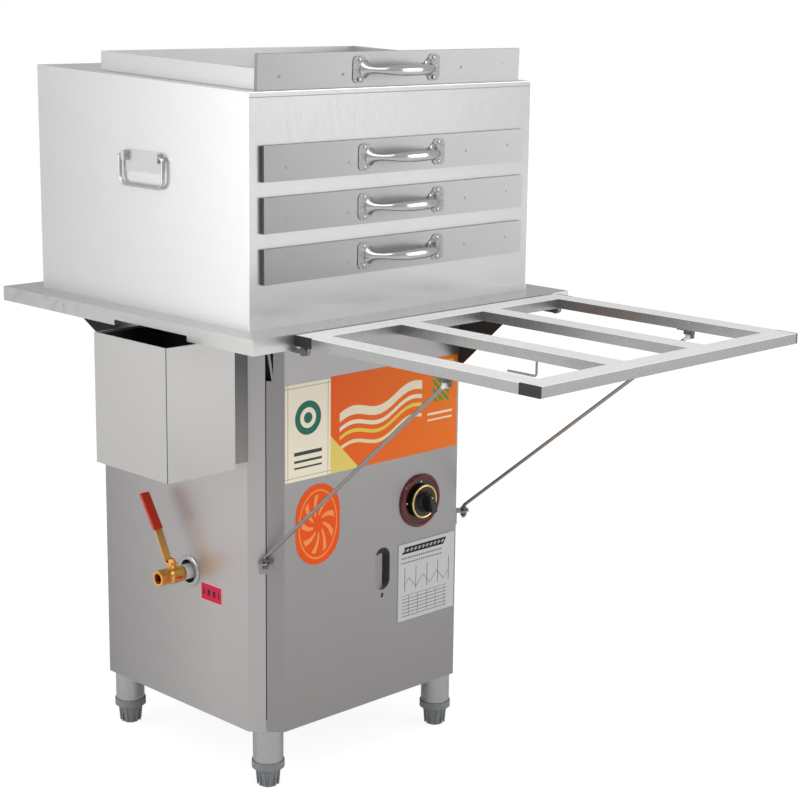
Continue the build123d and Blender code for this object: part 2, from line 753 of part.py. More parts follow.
def make_lever_sleeve():
    """Dipped plastic sleeve over the lever's upper half."""
    x, y = cab_l - lever_out, cab_f + valve_y
    z = valve_z + 19 + seat_gap
    knee = (y + 0.45 * lever_run, z + 0.42 * lever_rise)
    tip = (y + lever_run, z + lever_rise)
    run = (tip[0] - knee[0], tip[1] - knee[1])
    start = (knee[0] + 0.12 * run[0], knee[1] + 0.12 * run[1])
    end = (knee[0] + 1.04 * run[0], knee[1] + 1.04 * run[1])
    length = sqrt(run[0] ** 2 + run[1] ** 2)
    side = (-run[1] / length, run[0] / length)
    wall = 1.5

    def bar(extra, first, last):
        """A straight bar along the lever, thicker than it by extra all round."""
        a = [(p[0] - extra * side[0], p[1] - extra * side[1]) for p in (first, last)]
        b = [(p[0] + (lever_t + extra) * side[0], p[1] + (lever_t + extra) * side[1])
             for p in (last, first)]
        face = make_face(Polyline(*[(0, u, v) for u, v in a + b], close=True))
        wide = lever_w + 2 * extra
        return Pos(x - wide / 2, 0, 0) * extrude(face, wide, dir=(1, 0, 0))

    before = (start[0] - 0.1 * run[0], start[1] - 0.1 * run[1])
    hollow_end = (tip[0] + 0.005 * run[0], tip[1] + 0.005 * run[1])
    return bar(wall, start, end) - bar(run_gap, before, hollow_end)


# ---------------------------------------------------------------- knob
def make_bezel():
    """Round dial plate of the gas tap with a rolled rim."""
    x, z = knob_x, knob_z
    plate = turned((x, cab_f, z), (0, -1, 0),
                   [(0, bezel_r), (bezel_t - 3, bezel_r), (bezel_t, bezel_r - 3),
                    (bezel_t, bezel_r - 6), (bezel_t - 2, bezel_r - 8)])
    return plate - round_bar((x, cab_f, z), (x, cab_f - bezel_t, z), 9)


def make_gas_knob():
    """Round knob: skirt, tall bar grip and stem."""
    x, z = knob_x, knob_z
    y = cab_f - bezel_t + 2 - knob_push - seat_gap
    face = knob_skirt_t
    knob = turned((x, y, z), (0, -1, 0),
                  [(0, knob_skirt_r), (face - 2, knob_skirt_r), (face, knob_skirt_r - 2),
                   (face, knob_r), (face + knob_t * 0.3, knob_r - 2)])
    grip = Box(knob_grip, knob_t, 2 * knob_r - 1)
    grip = fillet(grip.edges().filter_by(Axis.Y), knob_grip / 3)
    knob += Pos(x, y - face - knob_t / 2, z) * Rot(0, knob_turn, 0) * grip
    stem = round_bar((x, y, z), (x, cab_f + sheet + 16, z), knob_stem_r)
    return knob + stem


# ---------------------------------------------------------------- steam box
def slot_band(row):
    """Lower and upper height of one drawer slot in the box front."""
    z = worktop_z + drawer_low + row * drawer_pitch
    return z, z + drawer_h - slot_lap


def make_box_shell():
    """Side walls, back wall and a top that slopes up towards the back, open
    below and in front."""
    t = thin_sheet
    rise = box_back_rise
    body = box_prism(box_l, box_r, box_f, box_b, box_top, box_top + rise)
    ceiling = box_top - t
    body -= box_prism(box_l + t, box_r - t, box_f, box_b - t,
                      ceiling, ceiling + rise * (1 - t / box_d))
    return body


def box_prism(x0, x1, y0, y1, front_top, back_top):
    """A block on the worktop whose top slopes from front to back."""
    side = [(y0, worktop_z), (y1, worktop_z), (y1, back_top), (y0, front_top)]
    outline = make_face(Polyline(*[(0, a, b) for a, b in side], close=True))
    return Pos(x0, 0, 0) * extrude(outline, x1 - x0, dir=(1, 0, 0))


def make_box_front():
    """Front plate with three drawer slots, bent back round its edges."""
    t = thin_sheet
    plate = slab(box_l + t, box_r - t, box_f, box_f + t, worktop_z, box_top - t)
    for row in range(drawer_count):
        z0, z1 = slot_band(row)
        plate -= slab(box_x - drawer_w / 2 + slot_lap, box_x + drawer_w / 2 - slot_lap,
                      box_f, box_f + t, z0, z1)
    return plate


def make_runners():
    """Angle runners, one pair to a drawer, on upright straps on the side walls."""
    runners = []
    half = drawer_w / 2 - slot_lap
    wall_in = box_w / 2 - thin_sheet
    for row in range(drawer_count):
        z0, _ = slot_band(row)
        z = z0 - runner_drop
        for side in (-1, 1):
            inner, outer = sorted((box_x + side * (half - 14), box_x + side * wall_in))
            ledge = slab(inner, outer, box_f + thin_sheet, box_b - thin_sheet - 1, z - runner_t, z)
            wall = sorted((box_x + side * wall_in, box_x + side * (wall_in - runner_t)))
            ledge += slab(wall[0], wall[1], box_f + thin_sheet, box_b - thin_sheet - 1,
                          z, z + 18)
            runners.append(ledge)
    return runners


def make_bail_plates():
    """Pressed plates on both side walls with the ears that hold the bails."""
    plates = []
    y = box_f + bail_y
    z = worktop_z + bail_z
    for side, x in ((-1, box_l), (1, box_r)):
        plate = RectangleRounded(bail_w - 14, bail_plate_h, 10)
        back = Plane(origin=(x, y, z - 8), x_dir=(0, 1, 0), z_dir=(side, 0, 0))
        solid = back * extrude(plate, 1.5)
        for end in (-1, 1):
            ey = y + end * (bail_w / 2 - bail_wire_r - 12)
            ex = sorted((x + side * 1.5, x + side * (2.5 + 2 * bail_wire_r)))
            ear = slab(ex[0], ex[1], ey - 4, ey + 4, z - bail_wire_r - 4, z + bail_wire_r + 3)
            pin_x = x + side * (2.5 + bail_wire_r)
            ear -= round_bar((pin_x, ey - 4, z), (pin_x, ey + 4, z), bail_pin_r + run_gap)
            solid += ear
        plates.append(solid)
    return plates


def make_bail(side, x):
    """One swinging bail: a round wire frame hanging from two pins."""
    y = box_f + bail_y
    z = worktop_z + bail_z
    px = x + side * (2.5 + bail_wire_r)
    half = bail_w / 2 - bail_wire_r
    drop = bail_h - 2 * bail_wire_r
    points = [(px, y - half + 8, z), (px, y - half, z), (px, y - half, z - drop),
              (px, y + half, z - drop), (px, y + half, z), (px, y + half - 8, z)]
    path = FilletPolyline(*points, radius=[5, 14, 14, 5])
    start = Plane(origin=path @ 0, z_dir=path % 0)
    frame = sweep(start * Circle(bail_wire_r - 1), path=path)
    for end in (-1, 1):
        a = (px, y + end * (half - 8), z)
        b = (px, y + end * (half - 17), z)
        frame += round_bar(a, b, bail_pin_r)
    return frame


# ---------------------------------------------------------------- drawers
def make_drawer(z0, y_face):
    """Front plate, tray and pull of one drawer.  The plate is folded back at its
    ends and top.  z0 is its lower edge and y_face its outer face."""
    t = thin_sheet
    x0, x1 = box_x - drawer_w / 2, box_x + drawer_w / 2
    back = y_face + drawer_proud
    front = slab(x0, x1, y_face, back, z0, z0 + drawer_h)
    front -= slab(x0 + t, x1 - t, y_face + t, back, z0, z0 + drawer_h - t)
    tray_half = drawer_w / 2 - slot_lap - tray_side_gap
    low = z0 - runner_drop + seat_gap
    tray = slab(box_x - tray_half, box_x + tray_half, y_face + t, y_face + t + tray_d,
                low, low + tray_h)
    tray -= slab(box_x - tray_half + t, box_x + tray_half - t, y_face + 2 * t,
                 y_face + tray_d, low + t, low + tray_h)
    return front, tray, make_pull(box_x, y_face, z0 + drawer_h / 2)


def make_pull(x, y, z):
    """Cast pull: two rounded base plates, trumpet necks and a bowed grip that
    thickens towards its middle."""
    half = pull_w / 2 - pull_plate_w / 2
    pull = None
    for side in (-1, 1):
        plate = rounded_plate(x + side * half, y, z, pull_plate_w, pull_plate_h, pull_plate_t, 9)
        pull = plate if pull is None else pull + plate
    neck = half - pull_plate_w / 2 + 2
    root_y, mid_y, top_y = y - pull_plate_t / 2, y - pull_reach * 0.62, y - pull_reach
    thin = pull_neck_r
    stations = [(-neck, root_y, (0, -1, 0), pull_flare_r * 0.75, pull_flare_r),
                (10 - neck, mid_y, (0.7, -1, 0), thin, thin * 1.1),
                (32 - neck, top_y, (1, -0.25, 0), pull_grip_r * 0.9, pull_grip_tall * 0.85),
                (0, top_y - pull_bow, (1, 0, 0), pull_grip_r, pull_grip_tall),
                (neck - 32, top_y, (1, 0.25, 0), pull_grip_r * 0.9, pull_grip_tall * 0.85),
                (neck - 10, mid_y, (0.7, 1, 0), thin, thin * 1.1),
                (neck, root_y, (0, 1, 0), pull_flare_r * 0.75, pull_flare_r)]
    grip = loft([oval_section((x + dx, at_y, z), way, across, tall)
                 for dx, at_y, way, across, tall in stations])
    return pull + grip


def oval_section(centre, direction, across, tall):
    """An elliptic section square to a direction, tall along Z."""
    plane = Plane(origin=centre, x_dir=(0, 0, 1), z_dir=direction)
    return plane * Ellipse(tall, across)


# ---------------------------------------------------------------- rack
def flat_tube_x(x0, x1, y0, y1):
    """Open rectangular tube along X at the rack's height."""
    tube = slab(x0, x1, y0, y1, rack_low, rack_top)
    w = tube_wall
    return tube - slab(x0, x1, y0 + w, y1 - w, rack_low + w, rack_top - w)


def flat_tube_y(x0, x1, y0, y1):
    """Open rectangular tube along Y at the rack's height."""
    tube = slab(x0, x1, y0, y1, rack_low, rack_top)
    w = tube_wall
    return tube - slab(x0 + w, x1 - w, y0, y1, rack_low + w, rack_top - w)


def rail_places():
    """Left edges of the rails that join the front and the back tube."""
    step = (rack_w - tube_w) / (rail_count - 1)
    return [rack_l + i * step for i in range(rail_count)]


def make_rails():
    """The rails, butted between the front and the back tube."""
    return [flat_tube_y(x, x + tube_w, rack_f + tube_w, rack_b - tube_w)
            for x in rail_places()]


def make_caps():
    """Plastic plugs in the four open ends of the front and the back tube."""
    caps = []
    for side, x in ((-1, rack_l + cap_t), (1, rack_r - cap_t)):
        for y0 in (rack_f, rack_b - tube_w):
            head = sorted((x, x + side * cap_t))
            cap = slab(head[0], head[1], y0, y0 + tube_w, rack_low, rack_top)
            plug = sorted((x, x - side * 10))
            w = tube_wall + run_gap
            cap += slab(plug[0], plug[1], y0 + w, y0 + tube_w - w, rack_low + w, rack_top - w)
            caps.append(cap)
    return caps


def hinge_places():
    """Outer faces of the two rack ears, with the way inwards."""
    return ((rack_l + 10, 1), (rack_r - 10, -1))


def make_rack_ears():
    """Ears under the back tube, each with a hole for the hinge pin."""
    ears = []
    for x, way in hinge_places():
        span = sorted((x, x + way * ear_t))
        ear = slab(span[0], span[1], hinge_y - ear_r, hinge_y + ear_r, hinge_z, rack_low)
        ear += round_bar((span[0], hinge_y, hinge_z), (span[1], hinge_y, hinge_z), ear_r)
        ear -= round_bar((span[0], hinge_y, hinge_z), (span[1], hinge_y, hinge_z),
                         hinge_pin_r + run_gap)
        ears.append(ear)
    return ears


def make_rack_brackets():
    """Brackets welded under the worktop's front apron, each with a hinge pin."""
    brackets = []
    for x, way in hinge_places():
        inner = x + way * (ear_t + seat_gap)
        span = sorted((inner, inner + way * ear_t))
        plate = slab(span[0], span[1], hinge_y, wt_f + 20, hinge_z - 6, apron_z)
        plate += round_bar((span[0], hinge_y, hinge_z), (span[1], hinge_y, hinge_z), 7)
        pin_end = x - way * 4
        pin = round_bar((inner, hinge_y, hinge_z), (pin_end, hinge_y, hinge_z), hinge_pin_r)
        head = round_bar((x - way * seat_gap, hinge_y, hinge_z), (pin_end, hinge_y, hinge_z), 7)
        brackets.append(plate + pin + head)
    return brackets


# ---------------------------------------------------------------- struts
def ball_places():
    """Centres of the strut balls with the way inwards."""
    half = tube_w / 2
    return (((rack_l + half, ball_y, ball_z), 1), ((rack_r - half, ball_y, ball_z), -1))


def tail_place(way):
    """Where the strut's tail stands in front of the corner bevel."""
    off = (corner_cut / 2 - strut_eye_off / sqrt(2))
    x = cab_l + off if way > 0 else cab_r - off
    return x, cab_f + off, strut_eye_z


def make_clips():
    """Ball cups under the outer rails, on a base plate.  One narrow jaw in
    front leaves the strut free to swing inwards under the rack."""
    clips = []
    for (x, y, z), way in ball_places():
        wall = strut_ball_r + 3
        open_from = strut_r + 0.6
        cup = round_bar((x, y, z - 3), (x, y, rack_low), wall)
        jaw = slab(x - 3, x + 3, y - wall, y - 1, z - 3, z + open_from)
        below = slab(x - wall, x + wall, y - wall, y + wall, z - 3, z + open_from)
        cup -= below - jaw
        cup -= Pos(x, y, z) * Sphere(strut_ball_r + run_gap)
        cup += slab(x - 17, x + 17, y - 12, y + 12, rack_low - 2, rack_low)
        clips.append(cup)
    return clips


def make_strut(centre, way):
    """Round strut: ball end at the rack, bend and hanging tail at the cabinet."""
    tail = tail_place(way)
    foot = (tail[0], tail[1], tail[2] - strut_tail)
    return bent_bar([centre, tail, foot], strut_r, 9) + Pos(*centre) * Sphere(strut_ball_r)


def make_eyes():
    """Notched seats on the front bevels that take the struts' tails."""
    eyes = []
    for way in (1, -1):
        x, y, z = tail_place(way)
        z1 = z - 8
        edge = cab_l if way > 0 else cab_r
        middle = (edge + way * corner_cut / 2, cab_f + corner_cut / 2)
        plate = Pos(middle[0], middle[1], z1 - eye_t / 2) * Rot(0, 0, -45 * way)
        plate = plate * Pos(0, -(strut_eye_off + 9) / 2, 0) * Box(24, strut_eye_off + 9, eye_t)
        plate -= slab(x - strut_r - 1.2, x + strut_r + 1.2, y - 60, y, z1 - eye_t, z1)
        plate -= round_bar((x, y, z1 - eye_t), (x, y, z1), strut_r + 1.2)
        flange = Pos(middle[0], middle[1], z1 - 12) * Rot(0, 0, -45 * way)
        flange = flange * Pos(0, -1, 0) * Box(24, 2, 24)
        eyes.append(plate + flange)
    return eyes


def make_keeper(x):
    """Wire hook under the second rail that holds a stowed strut."""
    y = ball_y - 4
    points = [(x, y, rack_low), (x, y, rack_low - keeper_drop),
              (x, y + keeper_reach, rack_low - keeper_drop)]
    return bent_bar(points, keeper_r, 5)


# ---------------------------------------------------------------- assembly
def build():
    """Every piece by its name, as a list of solids."""
    nodes = {}
    left, right, front, back = make_panels()
    nodes["worktop"] = [make_worktop()]
    nodes["overhang_gussets"] = make_gussets()
    nodes["left_panel"] = [make_left_panel(left)]
    nodes["right_panel"] = [right]
    nodes["front_panel"] = [make_front_panel(front)]
    nodes["back_panel"] = [make_back_panel(back)]
    nodes["floor_pan"] = [make_floor_pan()]
    nodes["corner_posts"] = make_posts()
    nodes["leg_tubes"] = make_legs()
    names = ("front_left", "front_right", "back_right", "back_left")
    for name, (x, y) in zip(names, leg_places()):
        nodes[f"foot_{name}"] = [make_foot(x, y)]
    nodes["boiler_tank"] = [make_boiler()]
    nodes["boiler_bearers"] = make_boiler_bearers()
    nodes["steam_outlet"] = [make_outlet()]
    nodes["burner"] = [make_burner()]
    nodes["burner_bearer"] = [make_burner_bearer()]
    nodes["gas_tap"] = [make_gas_valve()]
    nodes["gas_supply_pipe"] = [make_supply_pipe()]
    nodes["burner_pipe"] = [make_burner_pipe()]
    nodes["igniter"] = [make_igniter()]
    nodes["water_box"] = [make_water_box()]
    nodes["water_box_spacer"] = [make_water_spacer()]
    nodes["water_pipe"] = [make_water_pipe()]
    nodes["drain_pipe"] = [make_drain_pipe()]
    nodes["drain_trim_ring"] = [make_escutcheon()]
    nodes["drain_valve"] = [make_drain_valve()]
    nodes["drain_lever"] = [make_drain_lever()]
    nodes["drain_lever_sleeve"] = [make_lever_sleeve()]
    nodes["dial_plate"] = [make_bezel()]
    nodes["gas_knob"] = [make_gas_knob()]
    nodes["steam_box_shell"] = [make_box_shell()]
    nodes["steam_box_front"] = [make_box_front()]
    nodes["drawer_runners"] = make_runners()
    nodes["bail_plates"] = make_bail_plates()
    nodes["bail_left"] = [make_bail(-1, box_l)]
    nodes["bail_right"] = [make_bail(1, box_r)]
    for row, name in enumerate(("bottom", "middle", "top")):
        z = worktop_z + drawer_low + row * drawer_pitch
        add_drawer(nodes, name, z, box_f - drawer_proud - seat_gap)
    rest = box_top + spare_setback * box_back_rise / box_d + seat_gap
    tilt = Axis((0, box_f + spare_setback, rest), (1, 0, 0))
    add_drawer(nodes, "spare", rest, box_f + spare_setback)
    for piece in ("front", "tray", "pull"):
        flat = nodes[f"spare_drawer_{piece}"][0]
        nodes[f"spare_drawer_{piece}"] = [flat.rotate(tilt, box_slope)]
    nodes["rack_front_tube"] = [flat_tube_x(rack_l + cap_t, rack_r - cap_t, rack_f, rack_f + tube_w)]
    back_tube = flat_tube_x(rack_l + cap_t, rack_r - cap_t, rack_b - tube_w, rack_b)
    for ear in make_rack_ears():
        back_tube += ear
    nodes["rack_back_tube"] = [back_tube]
    rails = make_rails()
    nodes["rack_side_rails"] = [rails[0], rails[-1]]
    nodes["rack_slats"] = [rails[1] + make_keeper(rail_places()[1] + tube_w / 2), rails[2]]
    nodes["rack_end_caps"] = make_caps()
    nodes["rack_brackets"] = make_rack_brackets()
    nodes["strut_cups"] = make_clips()
    for name, (centre, way) in zip(("left", "right"), ball_places()):
        nodes[f"strut_{name}"] = [make_strut(centre, way)]
    nodes["strut_eyes"] = make_eyes()
    return nodes


def add_drawer(nodes, name, z, y_face):
    """Put one drawer's three pieces among the nodes."""
    front, tray, pull = make_drawer(z, y_face)
    nodes[f"{name}_drawer_front"] = [front]
    nodes[f"{name}_drawer_tray"] = [tray]
    nodes[f"{name}_drawer_pull"] = [pull]


def solids_of(pieces):
    """All solids in a list of shapes."""
    return [solid for piece in pieces for solid in piece.solids()]


def write(nodes):
    """One STEP file for each node."""
    os.makedirs("parts", exist_ok=True)
    for name, pieces in nodes.items():
        solids = solids_of(pieces)
        shape = solids[0] if len(solids) == 1 else Compound(children=solids)
        export_step(shape, f"parts/{name}.step")


write(build())
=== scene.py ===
"""Looks for the rice noodle roll steamer.

The packed part is the frame.  This file gives its nodes their finishes and
adds the small trim: the printed sheets and labels, the dial's ring and marks,
screws, nuts, spot welds and one gusset.
Lengths are metres in the part's own frame: +X right, +Y back, +Z up.
"""

import json
import math

import bpy
import numpy as np
from bpy.props import FloatProperty, FloatVectorProperty, IntProperty
from mathutils import Matrix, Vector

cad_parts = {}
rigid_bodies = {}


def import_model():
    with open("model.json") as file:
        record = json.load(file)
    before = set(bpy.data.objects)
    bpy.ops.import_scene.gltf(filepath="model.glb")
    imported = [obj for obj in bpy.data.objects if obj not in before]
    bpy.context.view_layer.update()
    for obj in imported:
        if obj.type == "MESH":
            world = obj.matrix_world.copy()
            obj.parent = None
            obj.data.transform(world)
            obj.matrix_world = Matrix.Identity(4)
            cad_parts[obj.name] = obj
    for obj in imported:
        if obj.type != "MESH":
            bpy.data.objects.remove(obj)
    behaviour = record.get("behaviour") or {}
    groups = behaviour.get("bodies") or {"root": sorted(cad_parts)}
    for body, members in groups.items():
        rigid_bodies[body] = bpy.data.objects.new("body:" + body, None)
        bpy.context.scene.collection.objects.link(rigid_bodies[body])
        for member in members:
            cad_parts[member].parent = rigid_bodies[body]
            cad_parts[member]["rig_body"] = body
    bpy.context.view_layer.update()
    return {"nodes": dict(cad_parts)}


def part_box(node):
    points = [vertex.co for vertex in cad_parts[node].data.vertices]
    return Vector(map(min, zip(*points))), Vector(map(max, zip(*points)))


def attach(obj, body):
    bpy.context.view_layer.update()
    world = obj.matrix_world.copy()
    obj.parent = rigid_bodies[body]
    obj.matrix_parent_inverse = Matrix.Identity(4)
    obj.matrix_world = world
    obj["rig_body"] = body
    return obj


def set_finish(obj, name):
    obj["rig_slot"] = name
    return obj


bl_info = {
    "name": "Rice noodle roll steamer",
    "version": (1, 0, 0),
    "blender": (4, 5, 0),
    "location": "View3D > Sidebar > Steamer",
    "description": "Finishes and small trim of a gas-fired drawer steamer",
    "category": "Object",
}

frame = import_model()

DRAWERS = ("bottom", "middle", "top", "spare")
MM = 0.001
SPARE_LEAN = 19 / 540    # the spare drawer lies on the box's sloping top

# Scales of the brushing noise, which is squeezed along one axis.
ACROSS_X, ACROSS_Y, ACROSS_Z = (0.03, 1, 1), (1, 0.03, 1), (1, 1, 0.03)
COARSE_Z = (1, 1, 0.05)
CONTRAST = 0.14          # how far the brushing lightens and darkens a sheet


def corner(node, end):
    """One corner of a CAD node's box as an array: end 0 is low, 1 is high."""
    return np.array(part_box(node)[end])


# ------------------------------------------------------------ mesh surfaces
def surface(name, points, closed_u=False, closed_v=False, smooth=True):
    """Mesh from a grid of points (rows, columns, 3).

    Every cell of the grid is one quad; closed_u joins the last column to the
    first, closed_v the last row to the first.  Collapsed edges are merged.
    """
    rows, cols = points.shape[:2]
    last_row = rows if closed_v else rows - 1
    last_col = cols if closed_u else cols - 1
    i, j = np.meshgrid(np.arange(last_row), np.arange(last_col), indexing="ij")
    i, j = i.ravel(), j.ravel()
    up, along = (i + 1) % rows, (j + 1) % cols
    quads = np.stack([i * cols + j, i * cols + along, up * cols + along, up * cols + j], 1)
    flat = points.reshape(-1, 3)
    unique, index = np.unique(np.round(flat, 7), axis=0, return_inverse=True)
    quads = index.ravel()[quads]
    faces = [list(dict.fromkeys(q)) for q in quads.tolist()]
    mesh = bpy.data.meshes.new(name)
    mesh.from_pydata(unique.tolist(), [], [f for f in faces if len(f) > 2])
    mesh.polygons.foreach_set("use_smooth", np.full(len(mesh.polygons), smooth))
    mesh.update()
    piece = bpy.data.objects.new(name, mesh)
    bpy.context.scene.collection.objects.link(piece)
    return piece


def rounded_outline(width, height, radius, steps=6):
    """Plan of a rounded rectangle: four quarter circles, counterclockwise."""
    radius = min(radius, width / 2, height / 2)
    turn = np.linspace(0, math.pi / 2, steps)
    parts = []
    for k, (sx, sy) in enumerate(((1, 1), (-1, 1), (-1, -1), (1, -1))):
        a = turn + k * math.pi / 2
        parts.append(np.stack([sx * (width / 2 - radius) + radius * np.cos(a),
                               sy * (height / 2 - radius) + radius * np.sin(a)], 1))
    return np.concatenate(parts)


def button(outline, levels):
    """Closed low relief: the outline scaled and lifted through levels.

    levels holds (inset, height) pairs from the back to the front; the surface
    starts and ends in a pole at the middle.  Returns points (rows, columns, 3)
    with the height in the third place.
    """
    size = np.abs(outline).max(0)
    rows = [np.zeros((len(outline), 3))]
    rows[0][:, 2] = levels[0][1]
    for inset, height in levels:
        scale = (size - inset) / size
        ring = np.column_stack([outline * scale, np.full(len(outline), height)])
        rows.append(ring)
    end = np.zeros((len(outline), 3))
    end[:, 2] = levels[-1][1]
    rows.append(end)
    return np.stack(rows)


def revolved(profile, segments=48):
    """Surface of revolution about the third axis from (radius, height) rows."""
    turn = np.linspace(0, 2 * math.pi, segments, endpoint=False)
    r, h = np.array(profile, float).T
    return np.stack([r[:, None] * np.cos(turn), r[:, None] * np.sin(turn),
                     np.repeat(h[:, None], segments, 1)], 2)


def placed(points, centre, across, upward, outward):
    """Local (x, y, height) points carried to a centre and three directions."""
    basis = np.array([across, upward, outward], float)
    return points @ basis + np.asarray(centre, float)


FRONT = ((1, 0, 0), (0, 0, 1), (0, -1, 0))
LEFT = ((0, -1, 0), (0, 0, 1), (-1, 0, 0))
TOP = ((1, 0, 0), (0, 1, 0), (0, 0, 1))


def add(name, points, material, body, smooth=True, slot="stainless_inside"):
    """A finished piece: mesh, material, body that it rides on and slot."""
    piece = surface(name, points, closed_u=True, smooth=smooth)
    piece.data.materials.append(material)
    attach(piece, body)
    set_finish(piece, slot)
    return piece


def plate(name, centre, directions, width, height, thickness, radius, material, body,
          slot="stainless_inside"):
    """A thin flat plate or sheet with rounded corners, standing on a face."""
    bevel = min(thickness * 0.4, 0.0004)
    outline = rounded_outline(width, height, radius)
    levels = [(0, 0), (0, thickness - bevel), (bevel, thickness)]
    points = placed(button(outline, levels), centre, *directions)
    return add(name, points, material, body, smooth=False, slot=slot)


def merged(name, pieces):
    """Joins like pieces of one material and body into one object."""
    meshes = [p.data for p in pieces]
    verts, faces, base = [], [], 0
    for mesh in meshes:
        co = np.empty(len(mesh.vertices) * 3)
        mesh.vertices.foreach_get("co", co)
        verts.append(co.reshape(-1, 3))
        faces += [[base + v for v in f.vertices] for f in mesh.polygons]
        base += len(mesh.vertices)
    first = pieces[0]
    smooth = first.data.polygons[0].use_smooth
    mesh = bpy.data.meshes.new(name)
    mesh.from_pydata(np.concatenate(verts).tolist(), [], faces)
    mesh.polygons.foreach_set("use_smooth", np.full(len(mesh.polygons), smooth))
    mesh.materials.append(first.data.materials[0])
    whole = bpy.data.objects.new(name, mesh)
    bpy.context.scene.collection.objects.link(whole)
    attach(whole, first["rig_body"])
    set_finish(whole, first["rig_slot"])
    for piece in pieces:
        bpy.data.objects.remove(piece)
    return whole


# ------------------------------------------------------------ shader helpers
class Finish:
    """A material under construction, with short calls for its nodes."""

    def __init__(self, name):
        self.material = bpy.data.materials.new(name)
        self.material.use_nodes = True
        self.tree = self.material.node_tree
        self.shader = self.tree.nodes["Principled BSDF"]

    def set(self, **values):
        """Constants on the shader's own sockets, underscores for spaces."""
        for key, value in values.items():
            self.shader.inputs[key.replace("_", " ")].default_value = value
        return self

    def node(self, kind, **inputs):
        """A node of one kind with values or links on its inputs by index."""
        made = self.tree.nodes.new(kind)
        for key, value in inputs.items():
            self.feed(made.inputs[int(key[1:])], value)
        return made

    def feed(self, socket, value):
        """A number, colour or link on one socket."""
        if isinstance(value, bpy.types.NodeSocket):
            self.tree.links.new(value, socket)
        else:
            socket.default_value = value

    def math(self, operation, a, b=0.0):
        """One arithmetic step."""
        made = self.node("ShaderNodeMath", _0=a, _1=b)
        made.operation = operation
        return made.outputs[0]

    def coordinates(self, centre=(0, 0, 0), scale=(1, 1, 1)):
        """Object coordinates about a centre, stretched."""
        source = self.tree.nodes.new("ShaderNodeTexCoord").outputs["Object"]
        shift = self.node("ShaderNodeMapping", _0=source)
        shift.vector_type = "TEXTURE"
        shift.inputs["Location"].default_value = centre
        shift.inputs["Scale"].default_value = scale
        return shift.outputs[0]

    def split(self, vector):
        """The three parts of a vector."""
        return self.node("ShaderNodeSeparateXYZ", _0=vector).outputs

    def noise(self, vector, scale, detail=4.0):
        """Noise between 0 and 1."""
        made = self.tree.nodes.new("ShaderNodeTexNoise")
        self.feed(made.inputs["Vector"], vector)
        made.inputs["Scale"].default_value = scale
        made.inputs["Detail"].default_value = detail
        return made.outputs[0]

    def ramp(self, value, low, high, start=0.0, end=1.0):
        """Straight change from one number to another over a span."""
        made = self.node("ShaderNodeMapRange", _0=value, _1=start, _2=end, _3=low, _4=high)
        return made.outputs[0]

    def mix(self, amount, a, b):
        """Colour between a and b."""
        made = self.tree.nodes.new("ShaderNodeMix")
        made.data_type = "RGBA"
        self.feed(made.inputs[0], amount)
        self.feed(made.inputs[6], (*a, 1) if isinstance(a, tuple) else a)
        self.feed(made.inputs[7], (*b, 1) if isinstance(b, tuple) else b)
        return made.outputs[2]

    def band(self, value, low, high):
        """1 where a value lies between two numbers, else 0."""
        above = self.math("GREATER_THAN", value, low)
        below = self.math("LESS_THAN", value, high)
        return self.math("MULTIPLY", above, below)

    def both(self, a, b):
        """1 where both masks are 1."""
        return self.math("MULTIPLY", a, b)

    def either(self, a, b):
        """1 where one of two masks is 1."""
        return self.math("MAXIMUM", a, b)

    def colour(self, value):
        """Puts a colour or a link on the base colour."""
        socket = self.shader.inputs["Base Color"]
        self.feed(socket, (*value, 1) if isinstance(value, tuple) else value)
        return self

    def bump(self, height, strength, distance):
        """Fine relief on the normal."""
        made = self.tree.nodes.new("ShaderNodeBump")
        made.inputs["Strength"].default_value = strength
        made.inputs["Distance"].default_value = distance
        self.feed(made.inputs["Height"], height)
        self.tree.links.new(made.outputs[0], self.shader.inputs["Normal"])
        return self


def steel(name, tone, roughness, grain=(1, 1, 1), metallic=0.9, spread=0.05, worn=0.04,
          fade=None, lines=None):
    """Brushed sheet: noise squeezed along one axis for streaks, and a broad
    cloudy change of tone.

    fade holds (axis number, start, end, tone): the sheet turns to that tone
    along one axis, a painted change of light and shade.  lines is a call that
    gets the finish and the x, y, z of the point and returns (mask, tone) pairs
    of painted shade and painted highlight for edges and seams, which are also
    less metallic.
    """
    f = Finish(name)
    streaks = f.noise(f.coordinates(scale=grain), 60.0, 3.0)
    clouds = f.noise(f.coordinates(), 3.2, 3.0)
    shade = f.math("ADD", f.ramp(streaks, -spread, spread, 0.3, 0.7),
                   f.ramp(clouds, -worn, worn, 0.3, 0.7))
    parts = f.split(f.coordinates())
    base = tone
    if fade:
        axis, start, end, far = fade
        along = f.ramp(parts[axis], 0, 1, start, end)
        base = f.mix(along, tone, far)
    light = f.mix(CONTRAST, base, (1.0, 1.0, 1.0))
    dark = f.mix(CONTRAST, base, (0.0, 0.0, 0.0))
    ink = f.mix(f.math("ADD", shade, 0.5), dark, light)
    if lines:
        for mask, line_tone in lines(f, *parts[:3]):
            ink = f.mix(mask, ink, line_tone)
            metallic = f.math("SUBTRACT", metallic, f.math("MULTIPLY", mask, 0.8))
    f.colour(ink)
    f.feed(f.shader.inputs["Roughness"], f.ramp(streaks, roughness - 0.06, roughness + 0.06,
                                                0.3, 0.7))
    f.feed(f.shader.inputs["Metallic"], metallic)
    f.bump(streaks, 0.04, 0.0004)
    return f.material


